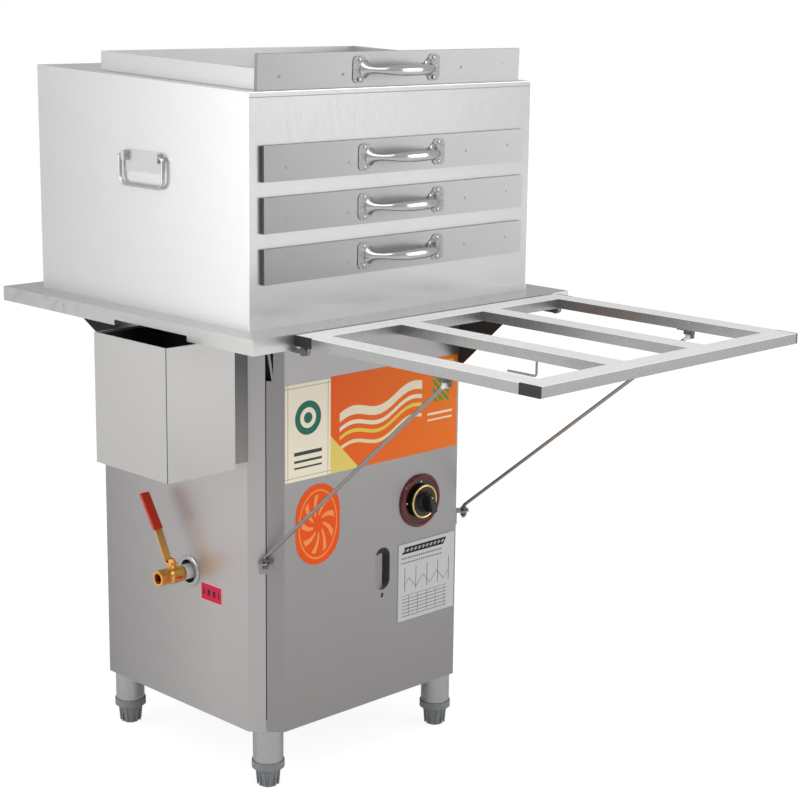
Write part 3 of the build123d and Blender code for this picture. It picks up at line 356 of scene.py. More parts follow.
def plain(name, tone, roughness, metallic=0.0, mottling=0.0, grain_scale=200.0):
    """A plain finish with a faint mottling."""
    f = Finish(name).set(Roughness=roughness, Metallic=metallic)
    if mottling:
        spots = f.noise(f.coordinates(), grain_scale, 3.0)
        f.colour(f.mix(f.ramp(spots, 0, 1, 0.35, 0.65), tuple(c * (1 - mottling) for c in tone),
                       tuple(min(c * (1 + mottling), 1) for c in tone)))
    else:
        f.colour(tone)
    return f.material


def dress(names, material):
    """Puts one material on CAD nodes."""
    for name in names:
        mesh = frame["nodes"][name].data
        mesh.materials.clear()
        mesh.materials.append(material)


# ------------------------------------------------------------ settings
class SteelTones(bpy.types.PropertyGroup):
    """Tones of the stainless sheets."""
    box_side: FloatVectorProperty(name="Steam box", subtype="COLOR", size=3,
                                  description="Sheet of the steam box",
                                  default=(0.86, 0.86, 0.86))
    box_front: FloatVectorProperty(name="Box front", subtype="COLOR", size=3,
                                   description="Front plate of the steam box",
                                   default=(0.43, 0.43, 0.43))
    drawer: FloatVectorProperty(name="Drawers", subtype="COLOR", size=3,
                                description="Sheet of the drawer fronts",
                                default=(0.20, 0.20, 0.20))
    cabinet: FloatVectorProperty(name="Cabinet", subtype="COLOR", size=3,
                                 description="Sheet of the cabinet",
                                 default=(0.33, 0.315, 0.315))
    worktop: FloatVectorProperty(name="Worktop", subtype="COLOR", size=3,
                                 description="Sheet of the worktop",
                                 default=(0.57, 0.57, 0.56))
    rack: FloatVectorProperty(name="Rack", subtype="COLOR", size=3,
                              description="Sides of the rack's tubes",
                              default=(0.30, 0.30, 0.295))


class PrintSizes(bpy.types.PropertyGroup):
    """Sizes and colours of the printed sheets and labels."""
    sheet_thickness: FloatProperty(name="Sheet thickness", default=0.0004, min=0.0001,
                                   max=0.002, unit="LENGTH", precision=4,
                                   description="Thickness of the printed film")
    cream: FloatVectorProperty(name="Cream", subtype="COLOR", size=3,
                               description="Ground of the cream sheet",
                               default=(0.96, 0.88, 0.70))
    orange: FloatVectorProperty(name="Orange", subtype="COLOR", size=3,
                                description="Ground of the orange sheet",
                                default=(0.88, 0.12, 0.008))
    red: FloatVectorProperty(name="Red", subtype="COLOR", size=3,
                             description="Ground of the red label",
                             default=(0.62, 0.010, 0.060))


class TrimSizes(bpy.types.PropertyGroup):
    """Sizes of screws, welds and edge strips."""
    screw_radius: FloatProperty(name="Screw head radius", default=0.0035, unit="LENGTH",
                                description="Dome heads on the pulls' base plates")
    weld_radius: FloatProperty(name="Spot weld radius", default=0.0022, unit="LENGTH",
                               description="Weld marks on the drawer fronts")
    ring_radius: FloatProperty(name="Dial ring radius", default=0.0275, unit="LENGTH",
                               description="Brass-coloured ring round the knob")
    marks: IntProperty(name="Dial marks", default=2, min=1, max=12,
                       description="Raised dots on the dial, a quarter turn apart")


class StageSettings(bpy.types.PropertyGroup):
    """Light and background."""
    ground: FloatVectorProperty(name="Ground", subtype="COLOR", size=3,
                                description="Colour of the floor",
                                default=(0.9, 0.9, 0.9))
    key: FloatProperty(name="Top light", default=34.0, min=0,
                       description="Power of the soft light from above in watts")
    side: FloatProperty(name="Side light", default=50.0, min=0,
                        description="Power of the big soft light on the left in watts")
    fill: FloatProperty(name="Front light", default=46.0, min=0,
                        description="Power of the soft light in front in watts")
    sky: FloatProperty(name="Sky", default=0.55, min=0,
                       description="Strength of the even surrounding light")


def settings(name):
    """One of the property groups on the scene."""
    return getattr(bpy.context.scene, name)


# ------------------------------------------------------------ finishes
class STEAMER_OT_finishes(bpy.types.Operator):
    """Give every CAD node its finish"""
    bl_idname = "steamer.finishes"
    bl_label = "Finishes"

    def execute(self, context):
        """Makes the materials and puts them on the nodes."""
        tones = settings("steamer_tones")
        dress_box(tuple(tones.box_side), tuple(tones.box_front))
        dress_drawers(tuple(tones.drawer))
        dress_cabinet(tuple(tones.cabinet), tuple(tones.worktop))
        dress_water_box()
        dress_rack(tuple(tones.rack))
        dress_fittings()
        return {"FINISHED"}


def shaded(tone, share):
    """A tone times a share."""
    return tuple(c * share for c in tone)


def dress_box(side_tone, front_tone):
    """Steam box: side plates with painted shade, darker to the back, front plate
    with a painted shadow, darker to its top, and a painted shade line along
    the creased edge under the rolled rim."""
    # Painted shade: the side plates turn darker towards the back.
    dress(["steam_box_shell"],
          steel("box_sheet", side_tone, 0.36, ACROSS_Y, 0.75, 0.02,
                fade=(1, -0.02, 0.5, (0.70, 0.70, 0.70))))
    rim_z = corner("steam_box_front", 1)[2]

    def crease_shade(f, x, y, z):
        """Painted shade: a dark line under the rim along the top, where the sheet is creased."""
        return [(f.band(z, rim_z - 7.5 * MM, rim_z - 6 * MM), (0.30, 0.30, 0.30))]

    # Painted shadow: the front plate turns darker towards its top, under the spare drawer.
    dress(["steam_box_front"],
          steel("box_front_sheet", front_tone, 0.34, ACROSS_X, 0.85, 0.03, lines=crease_shade,
                fade=(2, rim_z - 0.22, rim_z - 0.06, shaded(front_tone, 0.8))))


def dress_cabinet(tone, worktop_tone):
    """Cabinet panels, the left one painted brighter as if lit and with painted
    shade to the back, worktop, legs, and the plainer sheets inside and in the shade."""
    low, high = corner("left_panel", 0)[1], corner("left_panel", 1)[1]
    # Painted light: the left panel is a lit copy of the cabinet sheet, with painted shade towards
    # the back.
    dress(["left_panel"],
          steel("left_sheet", shaded(tone, 1.6), 0.36, ACROSS_Z, 0.85, 0.04,
                fade=(1, low + 0.1, high, shaded(tone, 0.95))))
    dress(["right_panel", "front_panel", "back_panel", "strut_eyes"],
          steel("cabinet_sheet", tone, 0.36, ACROSS_Z, 0.85, 0.04))
    dress(["worktop"], steel("worktop_sheet", worktop_tone, 0.33, ACROSS_X, 0.85, 0.03))
    dress(["leg_tubes", "drain_trim_ring"],
          steel("leg_tube", (0.50, 0.50, 0.50), 0.28, ACROSS_Z, 0.95, 0.03))
    dress(["floor_pan", "corner_posts", "boiler_bearers", "burner_bearer", "boiler_tank",
           "steam_outlet", "drawer_runners", "water_pipe"],
          steel("inner_sheet", (0.50, 0.50, 0.49), 0.42, COARSE_Z, 0.85, 0.04))
    dress(["overhang_gussets", "rack_brackets", "strut_cups"],
          steel("shaded_sheet", (0.10, 0.10, 0.10), 0.5, COARSE_Z, 0.7, 0.02))


def dress_water_box():
    """Water box, with painted shade inside, and the channel between it and the
    cabinet, painted dark as shade and darker towards the box's height."""
    wall = 0.9 * MM
    lo, hi = corner("water_box", 0) + wall, corner("water_box", 1) - wall

    def inside(f, x, y, z):
        """Painted shade on the inner faces and on the folded corner at the front."""
        within = f.both(f.band(x, lo[0], hi[0]), f.band(y, lo[1], hi[1]))
        fold = f.both(f.math("LESS_THAN", x, lo[0]), f.math("LESS_THAN", y, lo[1] + 0.5 * MM))
        return [(f.both(within, f.band(z, lo[2], hi[2] - 3 * MM)), (0.03, 0.03, 0.03)),
                (fold, (0.10, 0.10, 0.10))]

    dress(["water_box"], steel("water_box_sheet", (0.54, 0.53, 0.515), 0.35, ACROSS_Z,
                               0.85, 0.03, lines=inside))
    # Painted shade: the channel is dark and turns darker upwards.
    bottom = corner("water_box_spacer", 0)[2]
    dress(["water_box_spacer"],
          steel("spacer_painted_shade", (0.22, 0.21, 0.20), 0.45, COARSE_Z, 0.7, 0.02,
                fade=(2, bottom, bottom + 0.16, (0.05, 0.05, 0.05))))


def dress_rack(tone):
    """Rack tubes with painted highlights on their tops, end caps and the two struts."""
    top_z = corner("rack_front_tube", 1)[2] - 0.5 * MM

    def top_highlight(f, x, y, z):
        """Painted highlight on the upper face of a tube, where the light from above falls."""
        return [(f.math("GREATER_THAN", z, top_z), (1.0, 1.0, 0.99))]

    for name, grain, nodes in (
            ("tube_across", ACROSS_X, ["rack_front_tube", "rack_back_tube"]),
            ("tube_along", ACROSS_Y, ["rack_side_rails", "rack_slats"])):
        dress(nodes, steel(name, tone, 0.30, grain, 0.9, 0.03, lines=top_highlight))
    dress(["rack_end_caps"], plain("black_cap", (0.012, 0.012, 0.012), 0.5))
    for side in ("left", "right"):
        dress([f"strut_{side}"], strut_material(side))


def dress_fittings():
    """Trays, handles, feet, knob, valve, pipes, burner and dial."""
    dress([f"{d}_drawer_tray" for d in DRAWERS],
          steel("tray_sheet", (0.66, 0.66, 0.66), 0.36, ACROSS_Y, 0.85, 0.04))
    feet = [n for n in frame["nodes"] if n.startswith("foot_")]
    for nodes, finish in (
            (["drain_pipe"], plain("pale_sleeve", (0.80, 0.79, 0.76), 0.35, 0.2)),
            (["bail_left", "bail_right"], plain("polished_steel", (0.62, 0.62, 0.63), 0.16, 1.0)),
            (["bail_plates"], plain("satin_plate", (0.60, 0.60, 0.60), 0.42, 0.8)),
            (feet, plain("grey_foot", (0.22, 0.23, 0.24), 0.5, 0.0, 0.06)),
            (["gas_knob"], plain("black_knob", (0.010, 0.010, 0.010), 0.28)),
            (["drain_valve"], plain("raw_brass", (0.86, 0.47, 0.12), 0.26, 1.0, 0.05)),
            (["drain_lever"], plain("plated_lever", (0.92, 0.50, 0.14), 0.26, 1.0)),
            (["drain_lever_sleeve"], plain("red_sleeve", (0.70, 0.035, 0.012), 0.3)),
            (["gas_tap", "gas_supply_pipe", "burner_pipe"],
             plain("pipe_brass", (0.62, 0.42, 0.18), 0.36, 1.0, 0.06)),
            (["burner"], plain("cast_iron", (0.045, 0.045, 0.045), 0.75, 0.3, 0.2, 400.0)),
            (["igniter"], plain("white_ceramic", (0.80, 0.78, 0.72), 0.3)),
            (["dial_plate"], dial_material())):
        dress(nodes, finish)


def dress_drawers(tone):
    """Drawer fronts: mid grey, with painted light making them lighter to the right.
    The folded edges of the three closed ones end in painted shade next to the box front."""
    face = corner("top_drawer_front", 0)[1]
    lo, hi = corner("top_drawer_front", 0)[0], corner("top_drawer_front", 1)[0]

    def fold_shade(f, x, y, z):
        """Painted shade on the rear part of each fold."""
        return [(f.band(y, face + 6.2 * MM, face + 8 * MM), (0.03, 0.03, 0.03))]

    # Painted light: the closed fronts turn lighter towards the right.
    closed = steel("drawer_sheet", tone, 0.38, ACROSS_X, 0.85, 0.03,
                   fade=(0, lo, hi, shaded(tone, 1.85)), lines=fold_shade)
    # Painted light: the spare drawer is a lighter, lit copy of the drawer sheet, also lighter to
    # the right.
    spare = steel("spare_drawer_sheet", shaded(tone, 1.15), 0.38, ACROSS_X, 0.85, 0.03,
                  fade=(0, lo, hi, shaded(tone, 1.9)))
    dress([f"{d}_drawer_front" for d in DRAWERS[:3]], closed)
    dress(["spare_drawer_front"], spare)
    dress([f"{d}_drawer_pull" for d in DRAWERS[:3]], pull_material("top", tone, 0.0))
    dress(["spare_drawer_pull"], pull_material("spare", tone, SPARE_LEAN))


def pull_material(drawer, tone, lean):
    """Polished grip on satin base plates: the plates are where the depth,
    corrected for a leaning drawer, lies next to the drawer's front."""
    f = Finish(f"{drawer}_pull_cast").set(Metallic=1.0)
    _, y, z = f.split(f.coordinates())[:3]
    lo, hi = corner(f"{drawer}_drawer_pull", 0), corner(f"{drawer}_drawer_pull", 1)
    middle = (lo[2] + hi[2]) / 2
    back = (corner(f"{drawer}_drawer_front", 0)[1] if lean == 0 else
            hi[1] - (hi[2] - middle) * lean)
    upright = f.math("ADD", y, f.math("MULTIPLY", f.math("SUBTRACT", z, middle), lean))
    plate_depth = 1.7 * MM
    base = f.math("GREATER_THAN", upright, back - plate_depth)
    grain = f.noise(f.coordinates(), 380.0, 3.0)
    cast = f.mix(f.ramp(grain, 0, 1, 0.35, 0.65), shaded(tone, 1.1), shaded(tone, 1.7))
    f.colour(f.mix(base, (0.60, 0.60, 0.61), cast))
    f.feed(f.shader.inputs["Roughness"], f.ramp(base, 0.15, 0.45))
    return f.material


def strut_material(side):
    """Drawn rod; the ball that hangs on the rack is painted pale as a highlight."""
    f = Finish(f"drawn_rod_{side}").set(Roughness=0.3)
    lo, hi = corner(f"strut_{side}", 0), corner(f"strut_{side}", 1)
    ball = 7 * MM    # radius, from the strut's outermost corner to the centre
    x = lo[0] + ball if side == "left" else hi[0] - ball
    offset = f.coordinates((x, lo[1] + ball, hi[2] - ball))
    x, y, z = f.split(offset)[:3]
    away = f.math("SQRT", f.math("ADD", f.math("MULTIPLY", x, x), f.math("ADD",
                  f.math("MULTIPLY", y, y), f.math("MULTIPLY", z, z))))
    # Painted highlight: the ball end is pale and not metallic.
    end = f.math("LESS_THAN", away, 9 * MM)
    f.colour(f.mix(end, (0.36, 0.35, 0.34), (0.86, 0.86, 0.84)))
    f.feed(f.shader.inputs["Metallic"], f.math("SUBTRACT", 1.0, end))
    return f.material


def dial_material():
    """Black glossy dial with a broad dark red rim."""
    f = Finish("dial_print").set(Roughness=0.14, Specular_IOR_Level=0.6)
    lo, hi = corner("dial_plate", 0), corner("dial_plate", 1)
    x, _, z = f.split(f.coordinates(tuple((lo + hi) / 2)))[:3]
    radius = f.math("SQRT", f.math("ADD", f.math("MULTIPLY", x, x), f.math("MULTIPLY", z, z)))
    edge = (hi[0] - lo[0]) / 2
    black_to, red_from = edge - 12 * MM, edge - 9 * MM
    rim = f.ramp(radius, 0, 1, black_to, red_from)
    f.colour(f.mix(rim, (0.006, 0.005, 0.006), (0.11, 0.004, 0.008)))
    return f.material


# ------------------------------------------------------------ printed sheets
def front_point(x_from_left, height):
    """A point on the front panel's outer face, by millimetres from the
    cabinet's left side and from the floor."""
    face_y = corner("front_panel", 0)[1]
    left = corner("left_panel", 0)[0]
    return np.array([left + x_from_left * MM, face_y, height * MM])


def cream_material(centre):
    """Cream ground with a thin frame, a green ring and three dark bars."""
    sizes = settings("steamer_prints")
    f = Finish("cream_print").set(Roughness=0.45, Specular_IOR_Level=0.2)
    x, _, z = f.split(f.coordinates(tuple(centre), (MM, MM, MM)))[:3]
    up = f.math("SUBTRACT", z, 22)
    radius = f.math("SQRT", f.math("ADD", f.math("MULTIPLY", x, x), f.math("MULTIPLY", up, up)))
    ring = f.band(radius, 17, 28)
    dot = f.math("LESS_THAN", radius, 9)
    bars = f.both(f.band(x, -30, 30),
                  f.either(f.band(z, -38, -32), f.either(f.band(z, -50, -46),
                                                         f.band(z, -60, -57))))
    edge = f.either(f.band(f.math("ABSOLUTE", x), 42.5, 44),
                    f.band(f.math("ABSOLUTE", z), 73, 74.5))
    ink = f.mix(f.either(ring, dot), tuple(sizes.cream), (0.02, 0.17, 0.11))
    ink = f.mix(bars, ink, (0.05, 0.07, 0.06))
    f.colour(f.mix(edge, ink, (0.55, 0.50, 0.36)))
    return f.material


def orange_material(centre):
    """Orange ground, lighter to the right, with pale wavy stripes that fan
    upwards, a yellow corner and a green block."""
    sizes = settings("steamer_prints")
    f = Finish("orange_print").set(Roughness=0.4, Specular_IOR_Level=0.2)
    x, _, z = f.split(f.coordinates(tuple(centre), (MM, MM, MM)))[:3]
    fade = f.ramp(x, 0, 1, -150, 170)
    ground = f.mix(fade, tuple(sizes.orange), (0.90, 0.20, 0.012))
    wave = f.math("MULTIPLY", f.math("SINE", f.math("MULTIPLY", x, 0.045)), 9)
    level = f.math("SUBTRACT", z, f.math("ADD", wave, f.math("MULTIPLY", x, 0.16)))
    left = f.band(x, -128, 62)
    for low, high, ink in ((18, 33, (0.90, 0.80, 0.62)), (2, 9, (0.90, 0.80, 0.62)),
                           (-12, -6, (0.88, 0.62, 0.10)), (-30, -24, (0.88, 0.72, 0.45))):
        ground = f.mix(f.both(f.band(level, low, high), left), ground, ink)
    block = f.both(f.band(x, 88, 128), f.band(z, 4, 46))
    slant = f.math("FRACT", f.math("MULTIPLY", f.math("ADD", x, z), 1 / 14))
    ground = f.mix(f.both(block, f.band(slant, 0.0, 0.6)), ground, (0.10, 0.30, 0.05))
    small = f.both(f.band(x, 76, 136), f.either(f.band(z, -18, -14), f.band(z, -28, -25)))
    ground = f.mix(small, ground, (0.90, 0.80, 0.62))
    block = f.both(f.band(x, 104, 138), f.band(z, 52, 74))
    ground = f.mix(block, ground, (0.80, 0.58, 0.10))
    mark = f.both(f.band(f.math("SUBTRACT", x, f.math("MULTIPLY", z, 0.6)), 78, 92),
                  f.band(z, 56, 70))
    ground = f.mix(mark, ground, (0.06, 0.10, 0.05))
    corner_cut = f.math("GREATER_THAN", f.math("SUBTRACT", f.math("MULTIPLY", z, -1), x), 165)
    f.colour(f.mix(corner_cut, ground, (0.86, 0.66, 0.16)))
    return f.material


def rosette_material(centre):
    """Orange oval seal: nine petals from the sine of nine times the angle,
    turned with the distance from the middle."""
    f = Finish("rosette_print").set(Roughness=0.4, Specular_IOR_Level=0.2)
    x, _, z = f.split(f.coordinates(tuple(centre), (MM, MM, MM)))[:3]
    squash = f.math("MULTIPLY", z, 0.72)
    radius = f.math("SQRT", f.math("ADD", f.math("MULTIPLY", x, x),
                                   f.math("MULTIPLY", squash, squash)))
    angle = f.math("ARCTAN2", squash, x)
    petals = f.math("SINE", f.math("ADD", f.math("MULTIPLY", angle, 9),
                                   f.math("MULTIPLY", radius, 0.16)))
    white = f.both(f.math("GREATER_THAN", petals, 0.45), f.band(radius, 11, 36))
    ring = f.band(radius, 40, 42.5)
    ground = f.mix(white, (0.86, 0.09, 0.004), (0.95, 0.32, 0.09))
    f.colour(f.mix(ring, ground, (0.95, 0.28, 0.05)))
    return f.material


def notice_material(centre):
    """Grey-white notice: a slanted black heading bar with pale cells, dashed
    rows, a zigzag drawing and a ruled table.  It holds no lettering."""
    f = Finish("notice_print").set(Roughness=0.5, Specular_IOR_Level=0.2)
    x, _, z = f.split(f.coordinates(tuple(centre), (MM, MM, MM)))[:3]
    dash = f.band(f.math("FRACT", f.math("MULTIPLY", x, 1 / 5.3)), 0.15, 0.85)
    rows = f.either(f.band(z, 42, 45), f.band(z, 34, 36.5))
    text = f.both(f.both(dash, rows), f.band(x, -62, 38))
    table = f.both(f.band(x, -60, 50), f.band(z, -62, -24))
    grid = f.either(f.band(f.math("FRACT", f.math("MULTIPLY", z, 1 / 6.2)), 0.0, 0.2),
                    f.band(f.math("FRACT", f.math("MULTIPLY", x, 1 / 22)), 0.0, 0.05))
    table = f.both(table, grid)
    wave = f.math("MULTIPLY", f.math("PINGPONG", f.math("ADD", x, 60), 17), 1.1)
    level = f.math("SUBTRACT", z, f.math("SUBTRACT", wave, 12))
    drawing = f.both(f.band(level, -0.8, 0.8), f.band(x, -55, 55))
    stems = f.both(f.band(f.math("FRACT", f.math("MULTIPLY", x, 1 / 27)), 0.0, 0.06),
                   f.both(f.band(x, -55, 58), f.band(z, -16, 26)))
    lean = f.math("SUBTRACT", x, f.math("MULTIPLY", z, 0.6))
    bar = f.both(f.band(lean, -92, 10), f.band(z, 51, 63))
    cells = f.both(f.band(f.math("FRACT", f.math("MULTIPLY", lean, 1 / 9.5)), 0.2, 0.75),
                   f.band(z, 54.5, 59.5))
    heading = f.math("SUBTRACT", bar, f.math("MULTIPLY", f.both(bar, cells), 0.7))
    edge = f.either(f.band(f.math("ABSOLUTE", x), 68.5, 71),
                    f.band(f.math("ABSOLUTE", z), 69, 72))
    marks = f.either(f.either(text, table), f.either(drawing, stems))
    ink = f.mix(f.math("MULTIPLY", marks, 0.8), (0.58, 0.58, 0.575), (0.05, 0.05, 0.055))
    ink = f.mix(edge, ink, (0.30, 0.30, 0.30))
    f.colour(f.mix(heading, ink, (0.012, 0.012, 0.014)))
    return f.material


def red_label_material(centre):
    """Red ground with a paler frame and a row of dark strokes."""
    sizes = settings("steamer_prints")
    f = Finish("red_label_print").set(Roughness=0.4, Specular_IOR_Level=0.2)
    _, y, z = f.split(f.coordinates(tuple(centre), (MM, MM, MM)))[:3]
    stroke = f.both(f.band(f.math("FRACT", f.math("MULTIPLY", y, 1 / 14)), 0.25, 0.72),
                    f.band(z, -6, 5))
    stroke = f.both(stroke, f.band(y, -21, 21))
    edge = f.either(f.band(f.math("ABSOLUTE", y), 26, 30), f.band(f.math("ABSOLUTE", z), 14, 18))
    ink = f.mix(stroke, tuple(sizes.red), (0.07, 0.005, 0.012))
    f.colour(f.mix(edge, ink, (0.62, 0.42, 0.42)))
    return f.material


class STEAMER_OT_prints(bpy.types.Operator):
    """Add the printed sheets and labels of the cabinet"""
    bl_idname = "steamer.prints"
    bl_label = "Printed sheets"

    def execute(self, context):
        """Cream and orange sheets, seal, notice and red label."""
        t = settings("steamer_prints").sheet_thickness
        for name, x, z, width, height, radius, finish in (
                ("cream_sheet", 92, 608, 98, 160, 2, cream_material),
                ("orange_sheet", 289, 609, 296, 162, 2, orange_material),
                ("round_seal", 114, 448, 97, 137, 48.5, rosette_material),
                ("notice_sheet", 369, 303.5, 142, 143, 2, notice_material)):
            centre = front_point(x, z)
            plate(name, centre, FRONT, width * MM, height * MM, t, radius * MM,
                  finish(centre), "cabinet", slot="black_plastic")
        behind_front, height = 135.5 * MM, 321.5 * MM
        centre = np.array([corner("left_panel", 0)[0],
                           corner("front_panel", 0)[1] + behind_front, height])
        plate("red_label", centre, LEFT, 57 * MM, 36 * MM, t, 2 * MM,
              red_label_material(centre), "cabinet", slot="red_plastic")
        return {"FINISHED"}


# ------------------------------------------------------------ small trim
def dome(radius, height, segments=20):
    """Dome screw head: a quarter ellipse turned about its axis."""
    t = np.linspace(0, math.pi / 2, 5)
    profile = [(0, 0), (radius, 0)] + [(radius * c, height * s)
                                       for c, s in zip(np.cos(t), np.sin(t))]
    return revolved(profile, segments)


class STEAMER_OT_dial_trim(bpy.types.Operator):
    """Add the knob's ring and its white pointer dot"""
    bl_idname = "steamer.dial_trim"
    bl_label = "Dial trim"

    def execute(self, context):
        """A thick ring round the knob's skirt, a dot on its grip and two dots
        on the dial."""
        trim = settings("steamer_trim")
        lo, hi = corner("dial_plate", 0), corner("dial_plate", 1)
        middle = (lo + hi) / 2
        knob_lo = corner("gas_knob", 0)
        turn = np.linspace(0, 2 * math.pi, 16, endpoint=False)
        r, thick, behind_grip = trim.ring_radius, 2.2 * MM, 22.5 * MM
        profile = [(r + thick * math.cos(a), thick * math.sin(a)) for a in turn]
        centre = np.array([middle[0], knob_lo[1] + behind_grip, middle[2]])
        gold = plain("gold_ring", (0.80, 0.56, 0.22), 0.22, 1.0)
        ring = placed(revolved(profile + profile[:1]), centre, *FRONT)
        add("dial_ring", ring, gold, "knob", slot="brass")
        white = plain("white_dot", (0.85, 0.85, 0.84), 0.4)
        at = np.array([middle[0] - 2.6 * MM, knob_lo[1], middle[2] + 11 * MM])
        add("pointer_dot", placed(dome(2.4 * MM, 0.3 * MM), at + (0, 0.25 * MM, 0), *FRONT), white,
            "knob", slot="ceramic")
        dots, circle, face_behind = [], 33.5 * MM, 2 * MM
        for k in range(trim.marks):
            a = math.pi / 2 * (k + 1)
            at = np.array([middle[0] + circle * math.cos(a), lo[1] + face_behind,
                           middle[2] + circle * math.sin(a)])
            dots.append(add("dot", placed(dome(1.7 * MM, 0.4 * MM), at, *FRONT), white, "cabinet",
                            slot="ceramic"))
        merged("dial_dots", dots)
        return {"FINISHED"}


class STEAMER_OT_screws(bpy.types.Operator):
    """Add the screws of the pulls and the spot welds of the drawer fronts"""
    bl_idname = "steamer.screws"
    bl_label = "Screws and spot welds"

    def execute(self, context):
        """Two dome screws on each base plate, four weld marks on each front."""
        trim = settings("steamer_trim")
        head = plain("screw_head", (0.55, 0.55, 0.56), 0.25, 1.0)
        weld = plain("weld_mark", (0.30, 0.30, 0.30), 0.5, 0.8)
        for d in DRAWERS:
            lo, hi = corner(f"{d}_drawer_pull", 0), corner(f"{d}_drawer_pull", 1)
            front_lo, front_hi = corner(f"{d}_drawer_front", 0), corner(f"{d}_drawer_front", 1)
            body = f"{d}_drawer"
            middle = (lo + hi) / 2
            heads, plate_t = [], 1.2 * MM
            from_middle = np.array([(hi[0] - lo[0]) / 2 - 13.5 * MM, 15.5 * MM])
            for side in (-1, 1):
                for up in (-1, 1):
                    at = np.array([middle[0] + side * from_middle[0], front_lo[1] - plate_t,
                                   middle[2] + up * from_middle[1]])
                    heads.append(add("head", placed(dome(trim.screw_radius, 1.6 * MM), at, *FRONT),
                                     head, body))
            merged(f"{d}_pull_screws", heads)
            marks = []
            lean = SPARE_LEAN if d == "spare" else 0
            for share, down in ((0.075, 34), (0.30, 34), (0.755, 29), (0.93, 25)):
                up = front_hi[2] - down * MM
                at = np.array([front_lo[0] + share * (front_hi[0] - front_lo[0]),
                               front_lo[1] + (up - front_lo[2]) * lean, up])
                marks.append(add("mark", placed(dome(trim.weld_radius, 0.25 * MM, 12), at, *FRONT),
                                 weld, body))
            merged(f"{d}_spot_welds", marks)
        return {"FINISHED"}


class STEAMER_OT_brackets(bpy.types.Operator):
    """Add the struts' nuts and the gusset under the front overhang"""
    bl_idname = "steamer.brackets"
    bl_label = "Nuts and gusset"

    def execute(self, context):
        """Two hexagon nuts on each strut's tail, above and below its notched
        seat, and one thin plate from the cabinet's front to the worktop's
        edge, with the slanting lower edge that shows behind the rack."""
        dark = plain("dark_nut", (0.16, 0.155, 0.15), 0.35, 1.0)
        face = corner("front_panel", 0)[1]
        tail_inset, radius, tall = 11.1 * MM, 5.5 * MM, 5 * MM
        turn = np.arange(6) * math.pi / 3
        hexagon = radius * np.stack([np.cos(turn), np.sin(turn)], 1)
        for side, end, inward in (("left", 0, 1), ("right", 1, -1)):
            tail = np.array([corner(f"{side}_panel", end)[0] + inward * tail_inset,
                             face + tail_inset, 0])
            nuts = []
            for low in (402.4 * MM, 391.5 * MM):
                points = placed(button(hexagon, [(0, 0), (0, tall)]), tail + (0, 0, low), *TOP)
                nuts.append(add("nut", points, dark, f"{side}_strut", smooth=False))
            merged(f"{side}_strut_nuts", nuts)
        depth, drop, behind = 118 * MM, 106 * MM, 11 * MM
        inset, below, gap, thick = 42 * MM, 5 * MM, 0.3 * MM, 1.2 * MM
        corners = np.array([(-depth / 2, -drop), (depth / 2, 0), (depth / 2, behind),
                            (-depth / 2, behind)])
        centre = np.array([corner("right_panel", 1)[0] - inset, face - depth / 2 - gap,
                           corner("worktop", 0)[2] - below])
        # Painted shade: the gusset under the overhang is nearly black.
        add("front_gusset", placed(button(corners, [(0, 0), (0, thick)]), centre, *LEFT),
            plain("gusset_painted_shade", (0.05, 0.05, 0.05), 0.5, 0.6), "cabinet", smooth=False)
        return {"FINISHED"}


# ------------------------------------------------------------ stage
class STEAMER_OT_stage(bpy.types.Operator):
    """Add the floor, the soft lights, the background and the camera"""
    bl_idname = "steamer.stage"
    bl_label = "Stage"

    def execute(self, context):
        """Plain pale floor, three soft area lights, even sky, photo camera."""
        scene = context.scene
        setup = settings("steamer_stage")
        reach = 12.0
        grid = np.linspace(-reach, reach, 3)
        x, y = np.meshgrid(grid, grid)
        floor = surface("floor", np.stack([x, y, np.zeros_like(x)], 2), smooth=False)
        floor.data.materials.append(floor_material(tuple(setup.ground)))
        for name, power, size, spot, aim in (
                ("top_light", setup.key, 2.4, (-1.6, -1.6, 3.4), (0, 0, 0.7)),
                ("side_light", setup.side, 3.0, (-3.6, 1.8, 1.3), (0, 0.2, 0.7)),
                ("front_light", setup.fill, 2.4, (2.6, -3.4, 1.4), (0, 0, 0.6))):
            data = bpy.data.lights.new(name, "AREA")
            data.energy, data.size = power, size
            lamp = bpy.data.objects.new(name, data)
            scene.collection.objects.link(lamp)
            lamp.matrix_world = looking(spot, aim)
            lamp.visible_camera = False
        scene.world = sky(setup.sky)
        scene.camera = photo_camera(scene)
        scene.view_settings.view_transform = "Standard"
        return {"FINISHED"}


def looking(spot, aim):
    """Matrix at a spot whose -Z points at the aim."""
    forward = np.array(aim, float) - np.array(spot, float)
    forward /= np.linalg.norm(forward)
    right = np.cross(forward, (0, 0, 1))
    right /= np.linalg.norm(right)
    return columns(right, np.cross(right, forward), -forward, spot)


def columns(x, y, z, spot):
    """4 by 4 matrix from three axes and a place."""
    return Matrix([[x[i], y[i], z[i], spot[i]] for i in range(3)] + [[0, 0, 0, 1]])


def seen_directly(tree):
    """1 for camera and transmission rays, 0 for all others."""
    rays = tree.nodes.new("ShaderNodeLightPath")
    seen = tree.nodes.new("ShaderNodeMath")
    seen.operation = "MAXIMUM"
    tree.links.new(rays.outputs["Is Camera Ray"], seen.inputs[0])
    tree.links.new(rays.outputs["Is Transmission Ray"], seen.inputs[1])
    return seen.outputs[0]


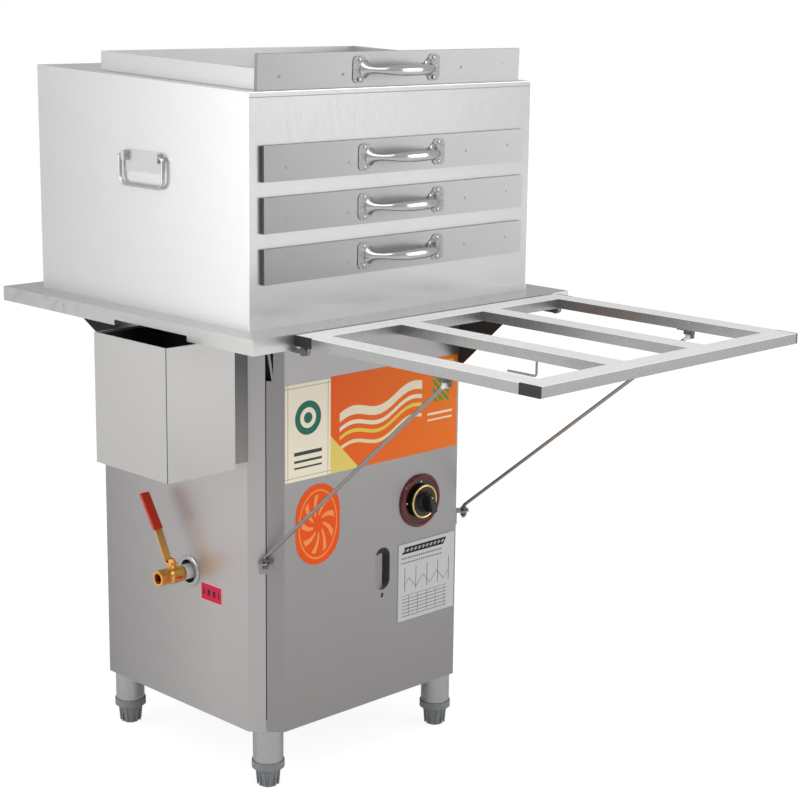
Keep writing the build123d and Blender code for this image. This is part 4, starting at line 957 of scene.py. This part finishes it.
def sky(strength):
    """Even surrounding light; white where the camera sees it."""
    world = bpy.data.worlds.new("studio")
    world.use_nodes = True
    tree = world.node_tree
    even = tree.nodes["Background"]
    even.inputs[0].default_value = (1, 1, 1, 1)
    even.inputs[1].default_value = strength
    white = tree.nodes.new("ShaderNodeBackground")
    white.inputs[0].default_value = (1, 1, 1, 1)
    white.inputs[1].default_value = 1.0
    mix = tree.nodes.new("ShaderNodeMixShader")
    tree.links.new(seen_directly(tree), mix.inputs[0])
    tree.links.new(even.outputs[0], mix.inputs[1])
    tree.links.new(white.outputs[0], mix.inputs[2])
    tree.links.new(mix.outputs[0], tree.nodes["World Output"].inputs[0])
    return world


def floor_material(tone):
    """Matt pale floor that the camera sees almost as white as the background,
    so that no horizon shows and only a faint shadow lies under the feet."""
    f = Finish("pale_floor").set(Roughness=0.9)
    f.colour(tone)
    glow_strength, glow_share = 1.25, 0.7
    glow = f.node("ShaderNodeEmission", _1=glow_strength)
    mix = f.tree.nodes.new("ShaderNodeMixShader")
    f.feed(mix.inputs[0], f.math("MULTIPLY", seen_directly(f.tree), glow_share))
    f.feed(mix.inputs[1], f.shader.outputs[0])
    f.feed(mix.inputs[2], glow.outputs[0])
    f.tree.links.new(mix.outputs[0], f.tree.nodes["Material Output"].inputs[0])
    return f.material


def photo_camera(scene):
    """The camera that was solved from the photograph's straight edges."""
    data = bpy.data.cameras.new("photo_camera")
    data.sensor_width = 36.0
    data.sensor_fit = "HORIZONTAL"
    data.lens = 84.38
    data.clip_end = 60.0
    camera = bpy.data.objects.new("photo_camera", data)
    scene.collection.objects.link(camera)
    forward = np.array((0.6865, 0.6939, -0.2173))
    right = np.array((0.7109, -0.7033, 0.0))
    up = np.array((0.1528, 0.1545, 0.9761))
    roll = 0.013
    x = math.cos(roll) * right + math.sin(roll) * up
    y = -math.sin(roll) * right + math.cos(roll) * up
    camera.matrix_world = columns(x, y, -forward, (-2.0710, -2.1474, 1.3128))
    return camera


# ------------------------------------------------------------ panel and run
class STEAMER_PT_panel(bpy.types.Panel):
    """Steamer settings and pieces"""
    bl_label = "Steamer"
    bl_idname = "STEAMER_PT_panel"
    bl_space_type = "VIEW_3D"
    bl_region_type = "UI"
    bl_category = "Steamer"

    def draw(self, context):
        """Lists the settings and the operators."""
        for name, group in GROUPS.items():
            box = self.layout.box()
            box.label(text=group.__doc__)
            for prop in group.__annotations__:
                box.prop(getattr(context.scene, name), prop)
        for operator in OPERATORS:
            self.layout.operator(operator.bl_idname)


GROUPS = {"steamer_tones": SteelTones, "steamer_prints": PrintSizes,
          "steamer_trim": TrimSizes, "steamer_stage": StageSettings}
OPERATORS = (STEAMER_OT_finishes, STEAMER_OT_prints, STEAMER_OT_dial_trim,
             STEAMER_OT_screws, STEAMER_OT_brackets, STEAMER_OT_stage)


def register():
    """Registers the classes and puts the settings on the scene."""
    for cls in (*GROUPS.values(), *OPERATORS, STEAMER_PT_panel):
        bpy.utils.register_class(cls)
    for name, group in GROUPS.items():
        setattr(bpy.types.Scene, name, bpy.props.PointerProperty(type=group))


def unregister():
    """Takes the settings and the classes away again."""
    for name in GROUPS:
        delattr(bpy.types.Scene, name)
    for cls in reversed((*GROUPS.values(), *OPERATORS, STEAMER_PT_panel)):
        bpy.utils.unregister_class(cls)


def main():
    """Builds the looks."""
    register()
    for operator in OPERATORS:
        group, name = operator.bl_idname.split(".")
        getattr(getattr(bpy.ops, group), name)()


if __name__ == "__main__":
    main()
